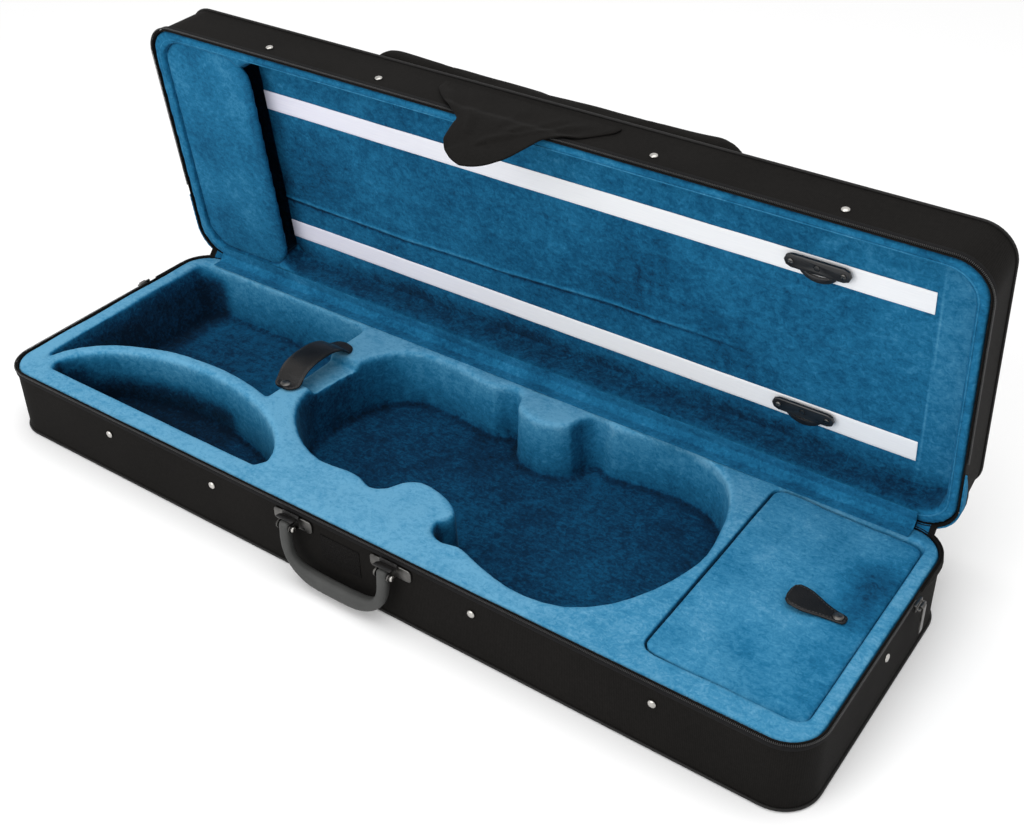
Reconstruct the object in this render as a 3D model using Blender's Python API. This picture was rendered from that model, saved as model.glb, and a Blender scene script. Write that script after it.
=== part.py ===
"""Oblong violin case, standing open with its lid upright.

Origin: centre of the base's underside. +X runs along the case, +Y to the hinge side, +Z up.
Lid pieces are modelled as if the lid were shut, round its hinge line, and hang on one turned empty.
Lengths are in metres.
"""
import math

import bmesh
import bpy
from mathutils import Matrix, Vector

# Overall size
case_length = 0.803
case_width = 0.251
base_height = 0.068
lid_height = 0.056
corner_radius = 0.030
lid_open_angle = math.radians(84)

# Layers of the walls, from the outside in
fit_gap = 0.0003
weld_distance = 0.000003
cover_thickness = 0.0014
cover_edge_radius = 0.0045
shell_wall = 0.006
shell_floor = 0.005
rim_setback = 0.0006
lid_taper = 0.003
cut_overrun = 0.004

# Foam insert of the base
insert_setback = 0.0015
insert_flange = 0.0070
soft_edge = 0.0045
soft_draft = 0.0020
soft_floor_radius = 0.0035
pocket_floor_height = 0.0120

# Violin cavity
cavity_length = 0.394
cavity_from_end = 0.1495
cavity_front_wall = 0.0225
cavity_back_wall = 0.0125
cavity_floor_height = 0.0100

# Scroll pocket, crescent pocket and neck saddle
end_margin = 0.0165
back_margin = 0.0165
front_margin = 0.0235
neck_wall = 0.025
pocket_corner_radius = 0.014
scroll_end_slope = 0.0120
scroll_slope_reach = 0.060
crescent_overreach = 0.046
crescent_depth_share = 0.269
crescent_start = 0.0345
crescent_tip = 0.0089
arc_wall = 0.0145
neck_width = 0.053
neck_center_y = 0.0300
neck_drop = 0.0085
neck_reach = 0.014

# Accessory compartment and its lid
accessory_from_end = 0.1395
accessory_lid_length = 0.1240
accessory_lid_thickness = 0.004
accessory_corner_radius = 0.010
accessory_margin = 0.0250
accessory_tilt = math.radians(2.0)
accessory_clearance = 0.0015
accessory_ledge = 0.007
accessory_sink = 0.0006
accessory_cove = 0.0009
tab_length = 0.046
tab_wide = 0.024
tab_thickness = 0.0016
tab_lift = 0.0035
tab_center_y = 0.004
tab_end_inset = 0.0170
rivet_from_end = 0.0066
rivet_radius = 0.0042
rivet_height = 0.0014

# Neck strap
strap_width = 0.028
strap_offset = 0.0050
strap_thickness = 0.0018
strap_rise = 0.0165
strap_end_length = 0.012
snap_radius = 0.0052
snap_height = 0.0016
stud_radius = 0.0042
stud_top_radius = 0.0026
stud_height = 0.0012

# Handle
handle_center_x = 0.0055
handle_span = 0.100
handle_drop = 0.0400
handle_lean = 0.0030
handle_pin_height = 0.0535
handle_standoff = 0.0080
handle_leg_width = 0.0105
handle_leg_depth = 0.0085
handle_bend_width = 0.0085
handle_grip_height = 0.0150
handle_grip_depth = 0.0110
handle_top = 0.0050
handle_squareness_share = 3.4
section_squareness_share = 2.7
# Share of the top's height and share of the leg's section
handle_end_shares = ((1.0, 0.45), (0.85, 0.78), (0.50, 0.97))
grip_widening_share = 0.6
pin_radius = 0.0015
pin_head_radius = 0.0026
pin_head_crown = 0.0018
pin_head_length = 0.0012
bracket_length = 0.040
bracket_height = 0.0115
bracket_corner = 0.0030
bracket_thickness = 0.0016
bracket_edge = 0.0004
ear_thickness = 0.0012
ear_side_clearance = 0.0005
ear_root_height = 0.0085
ear_radius = 0.0036

# Tacks
tack_radius = 0.0034
tack_height = 0.0016
tack_base_height = 0.046
tack_lid_height = 0.0195
tack_x_shares = (-0.327, -0.171, 0.163, 0.356)
end_tack_y = 0.004

# Zips round the rims
zip_end_from_hinge = 0.072
zip_tape_height = 0.0042
zip_tape_thickness = 0.0009
coil_radius = 0.0009
piping_radius = 0.0012
piping_height = 0.0020
slider_length = 0.012
slider_height = 0.0060
slider_plate = 0.0020
slider_tunnel = 0.0016
slider_bar = 0.0014
slider_post = 0.0014
pull_wall = 0.0008
pull_width = 0.0060
pull_length = 0.024
pull_thickness = 0.0014

# Lid lining
lid_wall_width = 0.0130
lid_floor_depth = 0.0280
lid_soft_edge = 0.0060
slot_depth = 0.0440
slot_from_end = 0.1105
tip_panel_overlap = 0.0070
tip_panel_sink = 0.0035
tip_panel_thickness = 0.005
tip_ledge = 0.008
strip_width = 0.0195
strip_thickness = 0.0006
strip_from_end = 0.0460
strip_upper_from_front = 0.0625
strip_lower_reach = 0.0470

# Bow spinners
spinner_length = 0.054
spinner_width = 0.012
spinner_plate = 0.0026
spinner_foot_radius = 0.0030
spinner_gap_height = 0.0030
spinner_clip_length = 0.034
spinner_clip_drop = 0.0150
spinner_clip_bar = 0.0032
spinner_clip_thickness = 0.0022
spinner_pin_radius = 0.0024
spinner_upper_from_end = 0.1350
spinner_lower_from_end = 0.1395
spinner_above_strip = 0.0035
clip_hole_start = math.radians(7)
screw_radius = 0.0024
screw_height = 0.0012

# Music pocket on the lid
pocket_length = 0.374
pocket_width = 0.2235
pocket_thickness = 0.0190
pocket_hinge_margin = 0.022
pocket_radius = 0.028
pocket_zip_length = 0.280
pocket_zip_width = 0.0080
pocket_zip_thickness = 0.0010
pocket_zip_inset = 0.0555

# Closing flap and its fastening
flap_center_x = 0.0030
flap_width = 0.172
flap_tip_width = 0.062
flap_sewn_reach = 0.042
flap_length = 0.0965
flap_tip_length = 0.042
flap_thickness = 0.0016
flap_step = 0.0022
flap_tip_setback = 0.0004
patch_width = 0.040
patch_length = 0.026
patch_below_tip_start = 0.0039
patch_thickness = 0.0008

# Cloth hinge and corner gussets
web_thickness = 0.0010
web_leg = 0.020
web_bend_radius = 0.003
lining_leg = 0.010
lining_thickness = 0.0008
gusset_reach = 0.066
gusset_width = 0.0140
gusset_thickness = 0.0014
gusset_bulge = 0.0008
gusset_wrap = math.radians(62)
gusset_pinch_share = 0.15

# Resolution
corner_steps = 6
small_corner_steps = 4
edge_steps = 3
round_steps = 12
gusset_steps = 14
cord_sides = 8
coil_sides = 6
pin_steps = 10
arch_steps = 14
grip_steps = 24
grip_sides = 12
crescent_steps = 20
flap_steps = 22
flap_columns = 8

# Angles under which neighbouring faces shade as one
crisp_angle = math.radians(35)
soft_angle = math.radians(60)

half_length = case_length / 2
half_width = case_width / 2
base_rim = base_height - rim_setback
insert_top = base_height - insert_setback
layer_cover = cover_thickness + fit_gap
layer_shell = layer_cover + shell_wall + fit_gap
flange_bottom = insert_top - insert_flange
insert_bottom = layer_cover + shell_floor + fit_gap
lid_mid_y = -half_width

cavity_left = half_length - cavity_from_end - cavity_length
cavity_front = -half_width + cavity_front_wall
cavity_width = case_width - cavity_front_wall - cavity_back_wall
scroll_left = -half_length + end_margin
scroll_right = cavity_left - neck_wall
crescent_length = scroll_right - scroll_left + crescent_overreach
slot_edge = -half_length + slot_from_end
tip_panel_edge = slot_edge + tip_panel_overlap
strip_upper_reach = case_width - strip_upper_from_front

black = (0.020, 0.018, 0.017, 1)
velvet = (0.030, 0.220, 0.420, 1)
foam_gray = (0.35, 0.35, 0.34, 1)
white = (0.85, 0.85, 0.86, 1)
nickel = (0.62, 0.60, 0.57, 1)
rubber = (0.055, 0.055, 0.055, 1)
plastic = (0.012, 0.012, 0.012, 1)


def clear_scene():
    for item in list(bpy.data.objects):
        bpy.data.objects.remove(item, do_unlink=True)


def material(name, color, roughness, metallic=0.0):
    mat = bpy.data.materials.new(name)
    mat.use_nodes = True
    shader = mat.node_tree.nodes["Principled BSDF"]
    shader.inputs["Base Color"].default_value = color
    shader.inputs["Roughness"].default_value = roughness
    shader.inputs["Metallic"].default_value = metallic
    return mat


def add_object(name, bm, mat, parent=None, location=(0, 0, 0), smooth=crisp_angle):
    bmesh.ops.remove_doubles(bm, verts=bm.verts, dist=weld_distance)
    bmesh.ops.recalc_face_normals(bm, faces=bm.faces)
    mesh = bpy.data.meshes.new(name)
    bm.to_mesh(mesh)
    bm.free()
    obj = bpy.data.objects.new(name, mesh)
    bpy.context.scene.collection.objects.link(obj)
    if mat is not None:
        mesh.materials.append(mat)
    mesh.shade_smooth()
    mesh.set_sharp_from_angle(angle=smooth)
    obj.location = location
    if parent is not None:
        obj.parent = parent
    return obj


def bridge(bm, loops, close_ring=True, cap_ends=True):
    """Skins a row of loops that have the same count of points, and caps both ends."""
    rows = [[bm.verts.new(point) for point in loop] for loop in loops]
    count = len(rows[0])
    spans = count if close_ring else count - 1
    for low, high in zip(rows, rows[1:]):
        for i in range(spans):
            j = (i + 1) % count
            bm.faces.new((low[i], low[j], high[j], high[i]))
    if cap_ends:
        bm.faces.new(rows[0])
        bm.faces.new(rows[-1])
    return rows


def arc(center_x, center_y, radius, start, stop, steps):
    points = []
    for i in range(steps + 1):
        angle = start + (stop - start) * i / steps
        points.append((center_x + radius * math.cos(angle), center_y + radius * math.sin(angle)))
    return points


def rounded_rectangle(x0, x1, y0, y1, radius, steps=corner_steps):
    quarter = math.pi / 2
    return (
        arc(x1 - radius, y1 - radius, radius, 0, quarter, steps)
        + arc(x0 + radius, y1 - radius, radius, quarter, 2 * quarter, steps)
        + arc(x0 + radius, y0 + radius, radius, 2 * quarter, 3 * quarter, steps)
        + arc(x1 - radius, y0 + radius, radius, 3 * quarter, 4 * quarter, steps)
    )


def case_outline(inset, center_y=0.0):
    """The case's outline in plan, drawn in by an inset."""
    x = half_length - inset
    y = half_width - inset
    radius = corner_radius - inset
    return rounded_rectangle(-x, x, center_y - y, center_y + y, radius)


def at_height(outline, z):
    return [Vector((x, y, z)) for x, y in outline]


def closed_spline(points, per_span):
    """A closed Catmull-Rom curve through its points."""
    curve = []
    count = len(points)
    for i in range(count):
        p0, p1, p2, p3 = (Vector(points[(i + k - 1) % count]) for k in range(4))
        for step in range(per_span):
            t = step / per_span
            a = 2 * p1
            b = p2 - p0
            c = 2 * p0 - 5 * p1 + 4 * p2 - p3
            d = 3 * p1 - p0 - 3 * p2 + p3
            point = (a + b * t + c * t * t + d * t ** 3) / 2
            curve.append((point.x, point.y))
    return curve


def offset_outline(outline, distance):
    """Moves each point of a counter-clockwise outline along its outward normal."""
    count = len(outline)
    moved = []
    for i in range(count):
        here = Vector(outline[i])
        before = (here - Vector(outline[i - 1])).normalized()
        after = (Vector(outline[(i + 1) % count]) - here).normalized()
        normal = Vector((before.y + after.y, -before.x - after.x))
        moved.append(tuple(here + normal.normalized() * distance))
    return moved


def quarter_steps(steps):
    return [math.pi / 2 * i / steps for i in range(1, steps + 1)]


def soft_well(name, outline, floor, top, edge, floor_radius, draft, slope=0.0):
    """A cutter for a hollow with a rounded brim, drafted walls and a coved floor.

    A slope is how far the left wall leans in by the time it reaches the floor.
    """
    low = sloped_end(offset_outline(outline, -draft - floor_radius), slope)
    loops = [at_height(low, floor)]
    for angle in quarter_steps(edge_steps):
        inset = draft + floor_radius * (1 - math.sin(angle))
        height = floor + floor_radius * (1 - math.cos(angle))
        lean = slope * (top - edge - height) / (top - edge - floor)
        loops.append(at_height(sloped_end(offset_outline(outline, -inset), lean), height))
    loops.append(at_height(outline, top - edge))
    for angle in quarter_steps(edge_steps):
        out = edge * (1 - math.cos(angle))
        loops.append(at_height(offset_outline(outline, out), top - edge * (1 - math.sin(angle))))
    loops.append(at_height(offset_outline(outline, edge), top + cut_overrun))
    bm = bmesh.new()
    bridge(bm, loops)
    return cutter(name, bm)


def sloped_end(outline, lean):
    """Moves the left end of an outline to the right, and the points past it less and less."""
    left = min(x for x, y in outline)
    moved = []
    for x, y in outline:
        share = max(0.0, 1 - (x - left) / scroll_slope_reach)
        moved.append((x + lean * share, y))
    return moved


def cutter(name, bm, parent=None, location=(0, 0, 0)):
    obj = add_object(name, bm, None, parent, location)
    obj.hide_render = True
    obj.display_type = "WIRE"
    return obj


def cut(target, tool, operation="DIFFERENCE"):
    modifier = target.modifiers.new(tool.name, "BOOLEAN")
    modifier.operation = operation
    modifier.object = tool


def fuse(target, tool):
    cut(target, tool, "UNION")


def box(bm, x0, x1, y0, y1, z0, z1):
    bridge(bm, [
        [Vector((x0, y0, z0)), Vector((x1, y0, z0)), Vector((x1, y1, z0)), Vector((x0, y1, z0))],
        [Vector((x0, y0, z1)), Vector((x1, y0, z1)), Vector((x1, y1, z1)), Vector((x0, y1, z1))],
    ])


def wall_draw(z, taper):
    """How far a lid wall is drawn in at a height above the hinge plane."""
    return taper * (z - rim_setback) / (lid_height - cover_edge_radius - rim_setback)


def tray(name, inset, floor, wall, bottom, rim, mat, edge_radius, parent=None, center_y=0.0, taper=0.0):
    """An open tray that follows the case's outline; a lid's tray has its floor above its rim."""
    up = 1 if rim > bottom else -1
    inner_radius = max(0.0, edge_radius - wall)
    tangent = bottom + up * edge_radius
    inner_tangent = bottom + up * (floor + inner_radius)
    loops = []
    for angle in [0] + quarter_steps(edge_steps):
        drawn = inset + wall_draw(tangent, taper) + edge_radius * (1 - math.sin(angle))
        loops.append(at_height(case_outline(drawn, center_y), tangent - up * edge_radius * math.cos(angle)))
    loops.append(at_height(case_outline(inset + wall_draw(rim, taper), center_y), rim))
    loops.append(at_height(case_outline(inset + wall + wall_draw(rim, taper), center_y), rim))
    inner = inset + wall + wall_draw(inner_tangent, taper)
    loops.append(at_height(case_outline(inner, center_y), inner_tangent))
    if inner_radius > 0:
        for angle in quarter_steps(edge_steps):
            drawn = inner + inner_radius * (1 - math.cos(angle))
            height = inner_tangent - up * inner_radius * math.sin(angle)
            loops.append(at_height(case_outline(drawn, center_y), height))
    bm = bmesh.new()
    bridge(bm, loops)
    return add_object(name, bm, mat, parent)


def perimeter_path(back_end, center_y=0.0):
    """Points and outward normals round both ends and the front, stopping short of the hinge."""
    x = half_length
    y = half_width
    path = [((x, center_y + y - back_end), (1, 0))]
    for side, first in ((1, 0.0), (-1, -math.pi / 2)):
        corner = (side * (x - corner_radius), center_y - y + corner_radius)
        for i in range(corner_steps + 1):
            angle = first - math.pi / 2 * i / corner_steps
            nx, ny = math.cos(angle), math.sin(angle)
            path.append(((corner[0] + corner_radius * nx, corner[1] + corner_radius * ny), (nx, ny)))
    path.append(((-x, center_y + y - back_end), (-1, 0)))
    return path


def rim_band(name, section, mat, back_end, parent=None, center_y=0.0):
    """A strip of constant section, in (outward, height) points, round the front and both ends."""
    loops = []
    for (px, py), (nx, ny) in perimeter_path(back_end, center_y):
        loops.append([Vector((px + nx * out, py + ny * out, z)) for out, z in section])
    bm = bmesh.new()
    bridge(bm, loops)
    return add_object(name, bm, mat, parent)


def closed_ring(name, inset, z, radius, mat, parent=None, center_y=0.0, sides=cord_sides):
    """A round cord that follows the whole outline."""
    loops = []
    for i in range(sides):
        angle = 2 * math.pi * i / sides
        outline = case_outline(inset - radius * math.cos(angle), center_y)
        loops.append(at_height(outline, z + radius * math.sin(angle)))
    loops.append(loops[0])
    bm = bmesh.new()
    bridge(bm, loops, cap_ends=False)
    return add_object(name, bm, mat, parent, smooth=soft_angle)


def cord_outside():
    """How far outside the wall a piping cord lies when it rests against the cover's rounded edge."""
    reach = cover_edge_radius + fit_gap + piping_radius
    rise = cover_edge_radius - piping_height
    return math.sqrt(reach ** 2 - rise ** 2) - cover_edge_radius


def circle_section(out, z, radius, sides=coil_sides):
    angles = [2 * math.pi * i / sides for i in range(sides)]
    return [(out + radius * math.cos(angle), z + radius * math.sin(angle)) for angle in angles]


def turned(bm, profile, matrix, steps=round_steps):
    """Turns (radius, height) points about Z; the first and last points are flat ends."""
    loops = []
    for radius, height in profile:
        ring = []
        for i in range(steps):
            angle = 2 * math.pi * i / steps
            ring.append(matrix @ Vector((radius * math.cos(angle), radius * math.sin(angle), height)))
        loops.append(ring)
    bridge(bm, loops)


# Share of a dome's radius and share of its height
dome_shares = ((1.0, 0.0), (0.96, 0.35), (0.72, 0.78), (0.30, 1.0))


def dome_profile(radius, height):
    return [(radius * across, height * up) for across, up in dome_shares]


def facing(direction):
    """Rotation that sends +Z to a direction."""
    return Vector((0, 0, 1)).rotation_difference(Vector(direction)).to_matrix().to_4x4()


def tack(name, location, direction, mat, parent=None):
    bm = bmesh.new()
    turned(bm, dome_profile(tack_radius, tack_height), facing(direction))
    return add_object(name, bm, mat, parent, location)


# Base: cover, shell, piping

def make_base_body(cloth, board):
    tray("base_cover", 0.0, cover_thickness, cover_thickness, 0.0, base_rim, cloth, cover_edge_radius)
    tray("base_shell", layer_cover, shell_floor, shell_wall, layer_cover,
         flange_bottom - fit_gap, board, cover_edge_radius - layer_cover)
    closed_ring("base_piping", -cord_outside(), piping_height, piping_radius, cloth)


# Base: velvet insert with its hollows

cavity_shares = (
    (0.003, 0.560), (0.000, 0.470), (0.018, 0.375), (0.060, 0.285), (0.120, 0.210), (0.190, 0.168),
    (0.262, 0.180), (0.300, 0.172), (0.332, 0.150), (0.362, 0.178), (0.378, 0.236), (0.412, 0.278),
    (0.462, 0.270), (0.508, 0.238), (0.533, 0.186), (0.518, 0.132), (0.525, 0.080), (0.558, 0.056),
    (0.596, 0.070), (0.640, 0.046), (0.703, 0.014), (0.774, 0.000), (0.853, 0.032), (0.919, 0.130),
    (0.965, 0.270), (0.993, 0.420), (1.000, 0.525), (0.990, 0.650), (0.968, 0.800), (0.924, 0.920),
    (0.860, 0.985), (0.780, 1.000), (0.703, 0.982), (0.640, 0.966), (0.612, 0.986), (0.586, 0.984),
    (0.566, 0.940), (0.556, 0.876), (0.526, 0.838), (0.487, 0.824), (0.445, 0.840), (0.420, 0.876),
    (0.408, 0.930), (0.386, 0.958), (0.360, 0.948), (0.334, 0.924), (0.290, 0.930), (0.206, 0.950),
    (0.127, 0.945), (0.069, 0.895), (0.033, 0.800), (0.012, 0.690),
)


def make_insert(velvet_mat):
    flange = layer_cover
    lower = layer_shell
    round_over = soft_edge / 2
    loops = [
        at_height(case_outline(lower + cover_edge_radius), insert_bottom),
        at_height(case_outline(lower), insert_bottom + cover_edge_radius),
        at_height(case_outline(lower), flange_bottom),
        at_height(case_outline(flange), flange_bottom),
        at_height(case_outline(flange), insert_top - round_over),
    ]
    for angle in quarter_steps(edge_steps):
        inset = flange + round_over * (1 - math.cos(angle))
        loops.append(at_height(case_outline(inset), insert_top - round_over * (1 - math.sin(angle))))
    bm = bmesh.new()
    bridge(bm, loops)
    insert = add_object("base_insert", bm, velvet_mat)

    points = [(cavity_left + cavity_length * sx, cavity_front + cavity_width * sy) for sx, sy in cavity_shares]
    cavity = closed_spline(points, 2)
    cut(insert, soft_well("cut_cavity", cavity, cavity_floor_height, insert_top, soft_edge,
                          soft_floor_radius, soft_draft))

    cut(insert, soft_well("cut_scroll_pocket", scroll_pocket_outline(), pocket_floor_height, insert_top,
                          soft_edge, soft_floor_radius, soft_draft, scroll_end_slope))
    cut(insert, soft_well("cut_crescent", crescent_outline(), pocket_floor_height, insert_top,
                          soft_edge, soft_floor_radius, soft_draft))

    neck_left = scroll_right - neck_reach
    neck_right = cavity_left + neck_reach
    saddle = rounded_rectangle(neck_left, neck_right, neck_center_y - neck_width / 2,
                               neck_center_y + neck_width / 2, soft_edge, 2)
    cut(insert, soft_well("cut_neck", saddle, insert_top - neck_drop, insert_top, soft_edge / 2,
                          soft_floor_radius / 2, soft_draft))

    x0, x1, y0, y1 = accessory_bounds()
    rabbet = rounded_rectangle(x0 - accessory_clearance, x1 + accessory_clearance,
                               y0 - accessory_clearance, y1 + accessory_clearance,
                               accessory_corner_radius, small_corner_steps)
    cut(insert, soft_well("cut_accessory_rabbet", rabbet, accessory_ledge_height(), insert_top,
                          accessory_cove, accessory_cove, 0.0))
    inner = rounded_rectangle(x0 + accessory_ledge, x1 - accessory_ledge, y0 + accessory_ledge,
                              y1 - accessory_ledge, accessory_corner_radius, small_corner_steps)
    cut(insert, soft_well("cut_accessory_well", inner, pocket_floor_height,
                          insert_top, fit_gap, soft_floor_radius, soft_draft))
    return insert


def scroll_pocket_outline():
    """Straight left, back and right walls, and an elliptic front wall that wraps the crescent."""
    x0 = scroll_left
    x1 = scroll_right
    y1 = half_width - back_margin
    radius = pocket_corner_radius
    center_x, center_y, a, b = crescent_ellipse(arc_wall)
    outline = arc(x1 - radius, y1 - radius, radius, 0, math.pi / 2, small_corner_steps)
    outline += arc(x0 + radius, y1 - radius, radius, math.pi / 2, math.pi, small_corner_steps)
    start = math.acos(max(-1, min(1, (x0 - center_x) / a)))
    stop = math.acos(max(-1, min(1, (x1 - center_x) / a)))
    for i in range(arch_steps + 1):
        angle = start + (stop - start) * i / arch_steps
        outline.append((center_x + a * math.cos(angle), center_y + b * math.sin(angle)))
    return outline


def crescent_ellipse(outward):
    center_x = -half_length + crescent_start + crescent_length / 2
    center_y = -half_width + front_margin
    depth = crescent_length * crescent_depth_share
    return center_x, center_y, crescent_length / 2 + outward, depth + outward


# Places of the straight front edge's points, from the left end
front_edge_shares = (0.02, 0.2, 0.4, 0.6, 0.8, 0.98)


def crescent_outline():
    """Half an ellipse over a straight front edge, with small round ends."""
    center_x, center_y, a, b = crescent_ellipse(0.0)
    outline = []
    start = math.asin(crescent_tip / b)
    for i in range(crescent_steps + 1):
        angle = start + (math.pi - 2 * start) * i / crescent_steps
        outline.append((center_x + a * math.cos(angle), center_y + b * math.sin(angle)))
    left = outline[-1]
    right = outline[0]
    for share in front_edge_shares:
        outline.append((left[0] + (right[0] - left[0]) * share, center_y))
    return outline


def accessory_bounds():
    x0 = half_length - accessory_from_end
    y0 = -half_width + accessory_margin
    y1 = half_width - back_margin
    return x0, x0 + accessory_lid_length, y0, y1


def accessory_ledge_height():
    """The ledge lies a fit gap under the tilted lid's low edge."""
    drop = accessory_lid_length * math.sin(accessory_tilt)
    return insert_top - accessory_sink - drop - accessory_lid_thickness * math.cos(accessory_tilt) - fit_gap


# Accessory lid, tab and rivet

# Share of the tab's length from its free end, of its widest width, and of its lift
tab_shares = ((0.00, 0.55, 1.00), (0.05, 0.92, 1.00), (0.30, 1.00, 0.70), (0.55, 0.72, 0.25),
              (0.80, 0.46, 0.0), (0.93, 0.40, 0.0), (1.00, 0.20, 0.0))


def make_accessory_lid(velvet_mat, leather, metal):
    x0, x1, y0, y1 = accessory_bounds()
    axis = bpy.data.objects.new("accessory_axis", None)
    bpy.context.scene.collection.objects.link(axis)
    axis.location = (x0, 0, insert_top - accessory_sink)
    axis.rotation_euler = (0, accessory_tilt, 0)
    width = x1 - x0
    round_over = accessory_lid_thickness / 3
    outline = rounded_rectangle(0.0, width, y0, y1, accessory_corner_radius - accessory_clearance,
                                small_corner_steps)
    loops = [
        at_height(offset_outline(outline, -round_over), -accessory_lid_thickness),
        at_height(outline, -accessory_lid_thickness + round_over),
        at_height(outline, -round_over),
        at_height(offset_outline(outline, -round_over), 0.0),
    ]
    bm = bmesh.new()
    bridge(bm, loops)
    lid = add_object("accessory_lid", bm, velvet_mat, axis)

    right = width - tab_end_inset
    left = right - tab_length
    bm = bmesh.new()
    rows = []
    for along, across, lift in tab_shares:
        x = left + tab_length * along
        half = tab_wide / 2 * across
        z = fit_gap + tab_lift * lift
        rows.append([Vector((x, tab_center_y - half, z)), Vector((x, tab_center_y + half, z)),
                     Vector((x, tab_center_y + half, z + tab_thickness)),
                     Vector((x, tab_center_y - half, z + tab_thickness))])
    bridge(bm, rows)
    add_object("accessory_tab", bm, leather, lid)

    bm = bmesh.new()
    turned(bm, dome_profile(rivet_radius, rivet_height), Matrix.Identity(4))
    add_object("tab_rivet", bm, metal, lid,
               (right - rivet_from_end, tab_center_y, fit_gap + tab_thickness + fit_gap))


# Neck strap and its snap

def make_strap(leather, metal):
    y_front = neck_center_y - neck_width / 2 - soft_edge
    y_back = neck_center_y + neck_width / 2 + soft_edge
    center_x = scroll_right + strap_offset
    stud_top = insert_top + fit_gap + stud_height
    lift = insert_top + fit_gap
    span = y_back - y_front
    end_rise = stud_top + fit_gap - lift
    profile = [(y_front - strap_end_length, end_rise), (y_front - strap_end_length / 2, end_rise)]
    for i in range(arch_steps + 1):
        angle = math.pi * i / arch_steps
        start = end_rise * (1 - i / arch_steps)
        profile.append((y_front + span * (1 - math.cos(angle)) / 2, start + strap_rise * math.sin(angle)))
    profile.append((y_back + strap_end_length, 0.0))
    count = len(profile)
    y_sewn = y_back + strap_end_length
    rows = []
    for i, (y, z) in enumerate(profile):
        before = Vector(profile[max(i - 1, 0)])
        after = Vector(profile[min(i + 1, count - 1)])
        direction = (after - before).normalized()
        normal = Vector((-direction.y, direction.x))
        top = Vector((y, z)) + normal * strap_thickness
        x0 = -strap_width / 2
        x1 = strap_width / 2
        rows.append([Vector((x0, y - y_sewn, z)), Vector((x1, y - y_sewn, z)),
                     Vector((x1, top.x - y_sewn, top.y)), Vector((x0, top.x - y_sewn, top.y))])
    bm = bmesh.new()
    bridge(bm, rows)
    strap = add_object("neck_strap", bm, leather, None, (center_x, y_sewn, lift))

    snap_y = y_front - strap_end_length / 2
    bm = bmesh.new()
    turned(bm, dome_profile(snap_radius, snap_height), Matrix.Identity(4))
    add_object("strap_snap", bm, metal, strap,
               (0, snap_y - y_sewn, end_rise + strap_thickness + fit_gap))
    bm = bmesh.new()
    turned(bm, [(stud_radius, 0.0), (stud_radius, stud_height / 2), (stud_top_radius, stud_height)],
           Matrix.Identity(4))
    add_object("strap_snap_stud", bm, metal, None, (center_x, snap_y, insert_top + fit_gap))


# Handle, brackets and pins

def handle_axis_y():
    return -(half_width + fit_gap + bracket_thickness + handle_standoff)


def smooth_share(start, stop, value):
    t = min(1.0, max(0.0, (value - start) / (stop - start)))
    return t * t * (3 - 2 * t)


def squared(value, squareness):
    """A cosine or sine bent so that the oval it draws gets squarer."""
    return math.copysign(abs(value) ** (2 / squareness), value)


def grip_point(angle):
    """A squared half-oval that leans out as it drops; angle 0 is the left pin and pi the right one."""
    low = squared(math.sin(angle), handle_squareness_share)
    x = -handle_span / 2 * squared(math.cos(angle), handle_squareness_share)
    return Vector((x, -handle_lean * low, -handle_drop * low))


def grip_size(point):
    """The grip's thickness across its run and its depth off the wall."""
    low = smooth_share(0.0, 1.0, -point.z / handle_drop)
    inner = smooth_share(0.0, grip_widening_share, 1 - abs(point.x) / (handle_span / 2))
    thickness = handle_leg_width + (handle_bend_width - handle_leg_width) * low
    thickness += (handle_grip_height - handle_bend_width) * inner
    return thickness, handle_leg_depth + (handle_grip_depth - handle_leg_depth) * inner


def grip_rows():
    ends = [(Vector((-handle_span / 2, 0, handle_top * up)), shrink) for up, shrink in handle_end_shares]
    path = list(ends)
    path += [(grip_point(math.pi * i / grip_steps), 1.0) for i in range(grip_steps + 1)]
    path += [(Vector((handle_span / 2, 0, point.z)), shrink) for point, shrink in reversed(ends)]
    rows = []
    for i, (point, shrink) in enumerate(path):
        before = path[max(i - 1, 0)][0]
        after = path[min(i + 1, len(path) - 1)][0]
        run = (after - before).normalized()
        out = Vector((0, 1, 0))
        across = out.cross(run).normalized()
        thickness, depth = grip_size(point)
        ring = []
        for k in range(grip_sides):
            angle = 2 * math.pi * (k + 1 / 2) / grip_sides
            side = squared(math.cos(angle), section_squareness_share) * thickness / 2 * shrink
            front = squared(math.sin(angle), section_squareness_share) * depth / 2 * shrink
            ring.append(point + across * side + out * front)
        rows.append(ring)
    return rows


def make_bracket(name, metal, place):
    """A plate on the wall with two ears that hold the pin; local Y points into the wall."""
    loops = []
    side_wall = bracket_thickness - bracket_edge
    for inset, out in ((0.0, 0.0), (0.0, side_wall), (bracket_edge, bracket_thickness)):
        half = bracket_length / 2 - inset
        high = bracket_height / 2 - inset
        outline = rounded_rectangle(-half, half, -high, high, bracket_corner - inset, edge_steps)
        loops.append([Vector((x, -out, z)) for x, z in outline])
    bm = bmesh.new()
    bridge(bm, loops)
    bracket = add_object(name, bm, metal, None, place)
    axis_out = bracket_thickness + handle_standoff
    quarter = math.pi / 2
    side_view = arc(-axis_out, 0.0, ear_radius, quarter, 3 * quarter, small_corner_steps)
    side_view += [(-bracket_thickness / 2, side * ear_root_height / 2) for side in (-1, 1)]
    for side in (-1, 1):
        inner = side * (handle_leg_width / 2 + ear_side_clearance)
        outer = inner + side * ear_thickness
        bm = bmesh.new()
        bridge(bm, [[Vector((x, y, z)) for y, z in side_view] for x in (inner, outer)])
        fuse(bracket, cutter("ear_%s_%d" % (name, (side + 3) // 2), bm, bracket))
    return bracket


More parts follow.
